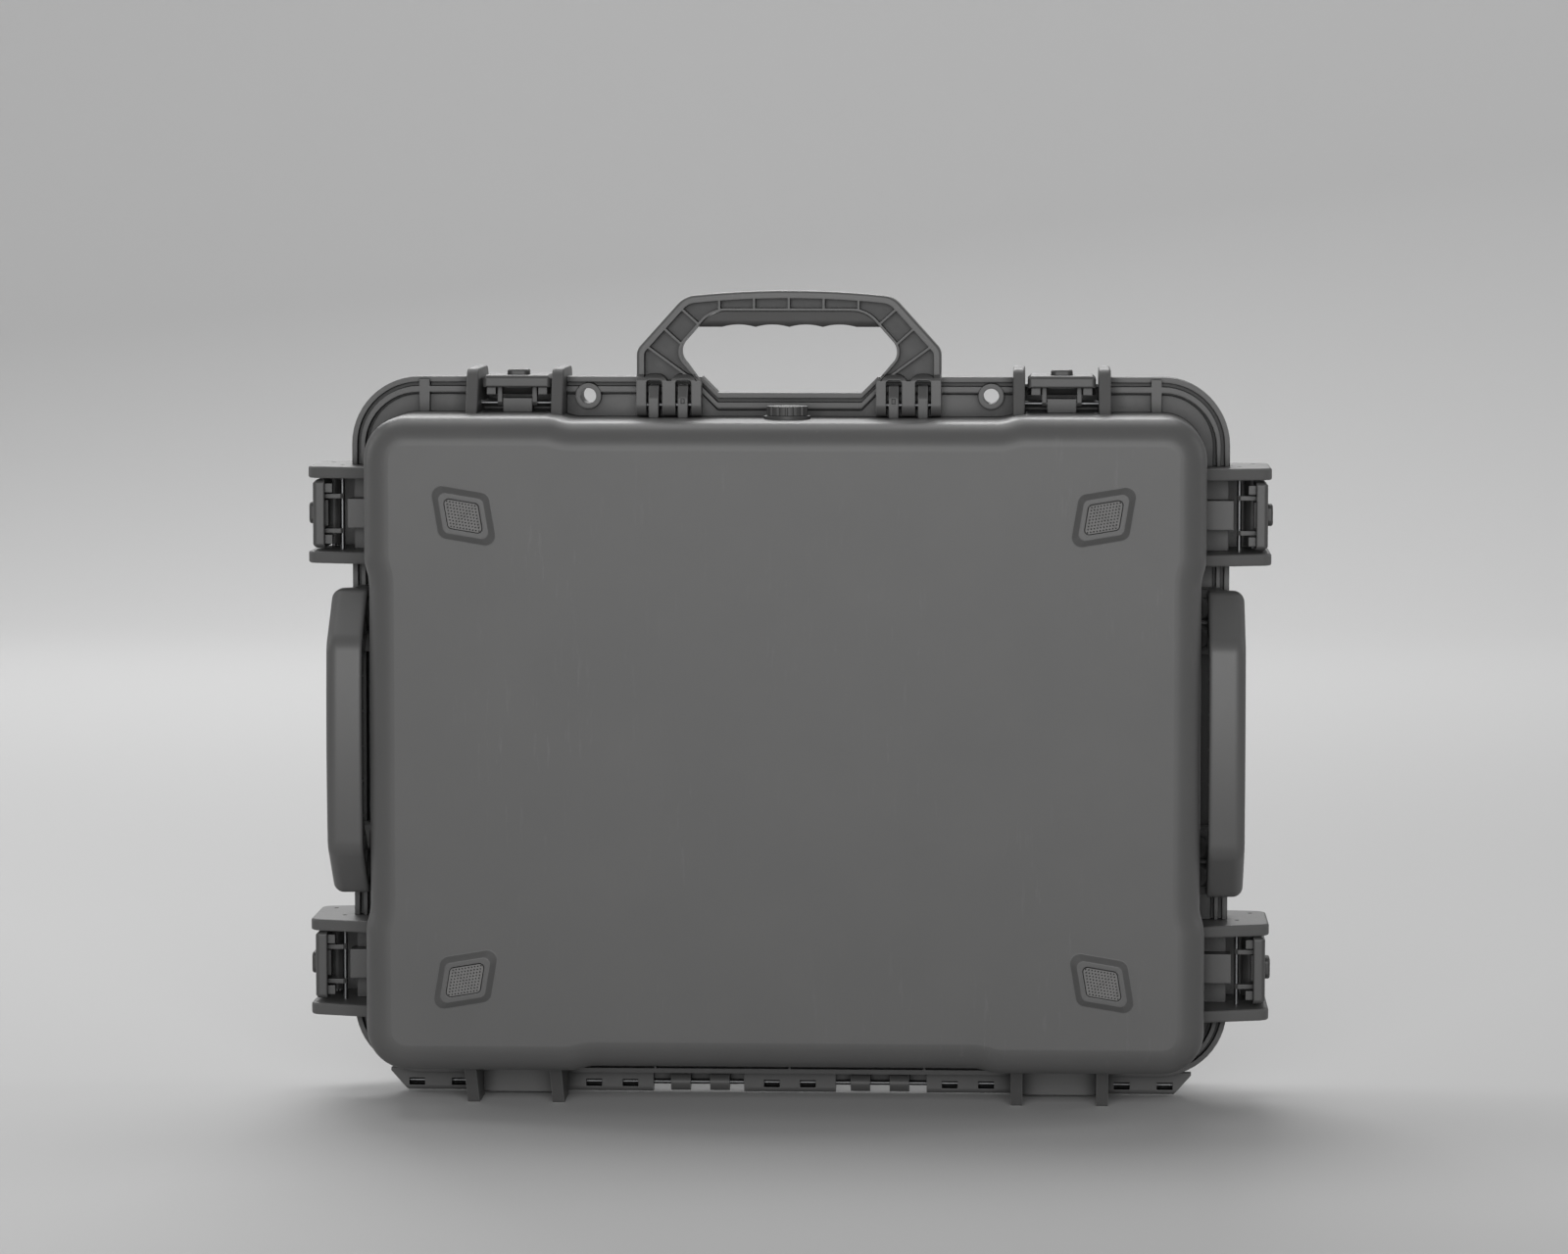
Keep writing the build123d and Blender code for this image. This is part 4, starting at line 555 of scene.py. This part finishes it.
low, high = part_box("lid_foam")
middle = (low + high) / 2
turn = 2 * math.pi / PEAK_PITCH
moved = 0
for vertex in lid_block.data.vertices:
    place = vertex.co
    near_face = min(max(1 - (place.y - low.y) / MOVING_SKIN, 0.0), 1.0)
    if near_face > 0:
        wave = math.cos(turn * (place.x - middle.x)) * math.cos(turn * (place.z - middle.z))
        place.y += near_face * PEAK_DEPTH * (0.5 - 0.5 * wave) * edge_fade(place, low, high)
        moved += 1
print("peaks: points of the face", moved)

# %% [markdown]
# A broad face of cut foam is never quite flat. A broad noise and a smaller one move the skin by less than
# a millimetre, nearly everywhere inwards. The normals are read before the first point moves, because a
# moved point makes Blender work out all of them again.
#
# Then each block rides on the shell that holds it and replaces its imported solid.

# %% A slightly uneven skin, and the foam's places
UNEVEN = 0.0006
BROAD_WAVES, SMALL_WAVES = 28.0, 90.0

for piece in (base_block, lid_block, bottom_pad):
    outward = [vertex.normal.copy() for vertex in piece.data.vertices]
    for vertex, normal in zip(piece.data.vertices, outward):
        wander = noise.noise(vertex.co * BROAD_WAVES) + 0.5 * noise.noise(vertex.co * SMALL_WAVES)
        vertex.co -= normal * UNEVEN * (0.5 + 0.5 * wander)
    piece.data.update()
    pick_only(piece)
    bpy.ops.object.shade_smooth()
    piece.data.materials.append(foam_finish)
    print(piece.name, "box", [round(v, 4) for v in piece.dimensions])

for piece, node_name, body in (
    (base_block, "base_foam", "base"),
    (bottom_pad, "base_pad", "base"),
    (lid_block, "lid_foam", "lid"),
):
    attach(piece, body)
    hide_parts(node_name)

# %% [markdown]
# ## Foot pads
# Each foot carries a rubber pad with a fine grid of dimples, in rows along the foot's own slanting sides. A
# dimple is a small blunt cone. One cone is added, and two Array modifiers lay it out in the grid, which a
# Boolean can cut out of a pad all at once.

# %% A grid of dimples
DIMPLE_PITCH = 0.00195
DIMPLE_RADIUS = 0.00057
DIMPLE_TIP = DIMPLE_RADIUS * 0.55
DIMPLE_DEPTH = 0.0009
DIMPLE_SIDES = 10
PAD_COLUMNS, PAD_ROWS = 10, 9


def dimple_grid(middle, lean):
    """Blunt cones in rows along the two slanting directions of one foot."""
    along = Vector((math.cos(lean), 0, math.sin(lean))) * DIMPLE_PITCH
    up = Vector((math.sin(lean), 0, math.cos(lean))) * DIMPLE_PITCH
    start = middle - along * (PAD_COLUMNS - 1) / 2 - up * (PAD_ROWS - 1) / 2
    bpy.ops.object.select_all(action="DESELECT")
    bpy.ops.mesh.primitive_cone_add(
        vertices=DIMPLE_SIDES,
        radius1=DIMPLE_RADIUS,
        radius2=DIMPLE_TIP,
        depth=2 * DIMPLE_DEPTH,
        location=start,
        rotation=(math.radians(-90), 0, 0),
    )
    cones = lay_down(bpy.context.object)
    for count, step in ((PAD_COLUMNS, along), (PAD_ROWS, up)):
        rows = cones.modifiers.new("Rows", "ARRAY")
        rows.count = count
        rows.use_relative_offset = False
        rows.use_constant_offset = True
        rows.constant_offset_displace = step
    return apply_all(cones)


def cut_out(piece, cutter):
    cut = piece.modifiers.new("Cut", "BOOLEAN")
    cut.operation = "DIFFERENCE"
    cut.solver = "EXACT"
    cut.object = cutter
    apply_all(piece)
    bpy.data.objects.remove(cutter, do_unlink=True)


print("dimples to a pad", PAD_COLUMNS * PAD_ROWS)

# %% [markdown]
# The sides of a foot lean one way on two of the feet and the other way on their mirror images. The grid is
# cut out of a copy of the imported pad, and every face behind the pad's front takes the darker finish,
# which is painted shade.

# %% Dimpled pads
CASE_MIDDLE_Z = sum(corner.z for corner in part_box("base_foam")) / 2
PAD_LEAN = math.radians(9.5)
BEHIND_FRONT = DIMPLE_DEPTH * 0.1
CREASE = math.radians(30)

for number in range(1, 5):
    node_name = f"foot_pad_{number}"
    low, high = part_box(node_name)
    middle = (low + high) / 2
    lean = PAD_LEAN * (1 if middle.x * (middle.z - CASE_MIDDLE_Z) > 0 else -1)
    pad = copy_of(node_name, f"dimpled_pad_{number}")
    cut_out(pad, dimple_grid(Vector((middle.x, low.y, middle.z)), lean))
    pick_only(pad)
    bpy.ops.object.shade_smooth_by_angle(angle=CREASE)
    pad.data.materials.append(foot_finish)
    pad.data.materials.append(dimple_shade_finish)
    # Faces inside the dimples take the painted shade.
    for face in pad.data.polygons:
        if face.center.y > low.y + BEHIND_FRONT:
            face.material_index = 1
    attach(pad, "base")
    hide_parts(node_name)
    print(pad.name, "faces", len(pad.data.polygons))

# %% [markdown]
# ## Button springs
# Under each release button lies a thin arched leaf of spring steel. When the button goes in, the arch is
# pressed flat against the lever. A copy of the imported leaf rides on the lever.

for node_name in [name for name in NODES if name.startswith("button_spring_")]:
    latch = node_name.removeprefix("button_spring_")
    leaf = copy_of(node_name, f"leaf_spring_{latch}")
    pick_only(leaf)
    bpy.ops.object.shade_smooth_by_angle(angle=CREASE)
    leaf.data.materials.append(steel_finish)
    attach(leaf, f"latch_{latch}")
    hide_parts(node_name)
    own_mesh(leaf)
    print(leaf.name, "faces", len(leaf.data.polygons))

# %% [markdown]
# ## Studio
# The case stands on a pale paper floor that runs up in a curve into a pale backdrop. The floor is a plane
# whose far edge is extruded upwards, and a Bevel rounds the corner.

# %% Floor and backdrop
FLOOR_WIDTH, FLOOR_LENGTH, WALL_HEIGHT = 14, 10, 6
SWEEP_RADIUS, SWEEP_STEPS = 1.5, 16

bpy.ops.object.select_all(action="DESELECT")
bpy.ops.mesh.primitive_plane_add(size=1.0, location=(0, 0, 0))
floor = bpy.context.object
floor.name = "studio_floor"
floor.scale = (FLOOR_WIDTH, FLOOR_LENGTH, 1)
lay_down(floor)
bpy.ops.object.mode_set(mode="EDIT")
bpy.ops.mesh.select_all(action="DESELECT")
bpy.ops.object.mode_set(mode="OBJECT")
for edge in floor.data.edges:
    edge.select = all(floor.data.vertices[v].co.y > 0 for v in edge.vertices)
bpy.ops.object.mode_set(mode="EDIT")
bpy.ops.mesh.select_mode(type="EDGE")
bpy.ops.mesh.extrude_region_move(TRANSFORM_OT_translate={"value": (0, 0, WALL_HEIGHT)})
bpy.ops.object.mode_set(mode="OBJECT")
sweep = floor.modifiers.new("Sweep", "BEVEL")
sweep.width = SWEEP_RADIUS
sweep.segments = SWEEP_STEPS
apply_all(floor)
bpy.ops.object.shade_smooth()
print("floor faces", len(floor.data.polygons))

# %% [markdown]
# The paper is a light grey. Far from the case it also glows a little, which makes the surround paler.
# Light Path shows the glow only to rays that come from the camera, from a reflection or through something
# clear. So it throws no light on the case, and the paper near the case keeps its shadow.

# %% Paper that is pale far off
PAPER_LEVEL = 0.58
GLOW_STARTS, GLOW_FULL, GLOW = 1.2, 4.4, 0.24


def seen_directly(tree):
    """1 for a ray from the camera, a reflection or glass, and 0 for light that falls on the case."""
    path = add_node(tree, "ShaderNodeLightPath").outputs
    seen = maths(tree, "ADD", path["Is Camera Ray"], path["Is Glossy Ray"])
    return maths(tree, "ADD", seen, path["Is Transmission Ray"], clamp=True)


floor_finish, tree, paper = new_finish(
    "Studio paper",
    {"Base Color": grey(PAPER_LEVEL), "Roughness": 0.8, "Emission Color": grey(1.0)},
)
away = add_node(tree, "ShaderNodeVectorMath", operation="LENGTH")
feed(away.inputs[0], place_on_piece(tree))
far_off = ranged(tree, away.outputs["Value"], (GLOW_STARTS, GLOW_FULL), (0.0, GLOW), "SMOOTHSTEP")
feed(paper["Emission Strength"], maths(tree, "MULTIPLY", far_off, seen_directly(tree)))
floor.data.materials.append(floor_finish)
floor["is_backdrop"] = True
print(floor_finish.name, "nodes", len(tree.nodes))

# %% [markdown]
# Five soft lamps light the case: a wide one in front for the big face, a weak and narrow one on each side
# for the ears and side handles, one above, and one high behind for the lid. They are set so that a plain
# grey comes out on the big face about as bright as it is written. The air adds a little light from all
# sides. Where the air itself is seen it is paler, by the same Light Path as the paper.

# %% Soft lamps and air
MIDDLE = Vector((0, 0, 0.25))
LAMPS = [
    # name, place, width and height, watts
    ("front_lamp", Vector((0.1, -4.4, 1.0)), (2.8, 1.9), 142),
    ("left_lamp", Vector((-2.4, 0.6, 1.2)), (0.6, 1.8), 10),
    ("right_lamp", Vector((2.6, 0.6, 1.2)), (0.6, 1.8), 8),
    ("top_lamp", Vector((-0.3, 0.9, 2.6)), (2.6, 1.2), 30),
    ("back_lamp", Vector((-0.6, 3.4, 2.3)), (2.4, 1.4), 58),
]
AIR_LIGHT, AIR_SEEN = 0.08, 0.5

for name, place, size, watts in LAMPS:
    light = bpy.data.lights.new(name, "AREA")
    light.shape = "RECTANGLE"
    light.size, light.size_y = size
    light.energy = watts
    lamp = bpy.data.objects.new(name, light)
    bpy.context.scene.collection.objects.link(lamp)
    lamp.location = place
    lamp.rotation_euler = (MIDDLE - place).to_track_quat("-Z", "Y").to_euler()
    lamp.visible_camera = False

world = bpy.data.worlds.new("Studio air")
bpy.context.scene.world = world
world.use_nodes = True
tree = world.node_tree
air = tree.nodes["Background"].inputs
feed(air["Color"], grey(1.0))
feed(air["Strength"], ranged(tree, seen_directly(tree), new=(AIR_LIGHT, AIR_SEEN)))
print("lamps", len(bpy.data.lights), "watts", sum(light.energy for light in bpy.data.lights))

# %% [markdown]
# ## Camera
# A long lens from 3.5 m away, a little to the right of the case and above its middle, so that upright
# edges stay almost parallel. The camera is turned until the case sits in the middle of the frame, and has
# no shift.

# %% Camera
IMAGE_WIDTH = 1600
FOCAL_PX = 5871
SENSOR = 36.0
EYE = Vector((0.1568, -3.5792, 0.5876))
AIM = Vector((0.0007, -0.0792, 0.3044))
NEAREST, FARTHEST = 0.05, 60

lens = bpy.data.cameras.new("camera")
lens.sensor_width = SENSOR
lens.lens = FOCAL_PX / IMAGE_WIDTH * SENSOR
lens.clip_start, lens.clip_end = NEAREST, FARTHEST
camera = bpy.data.objects.new("camera", lens)
bpy.context.scene.collection.objects.link(camera)
camera.location = EYE
camera.rotation_euler = (AIM - EYE).to_track_quat("-Z", "Y").to_euler()
bpy.context.scene.camera = camera
print("focal length", round(lens.lens, 1), "mm")

# %% [markdown]
# The plain view transform shows a colour as it is written. The box of the dressed case is measured.

# %% Settings, sizes and finish
bpy.context.scene.view_settings.view_transform = "Standard"
low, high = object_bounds()
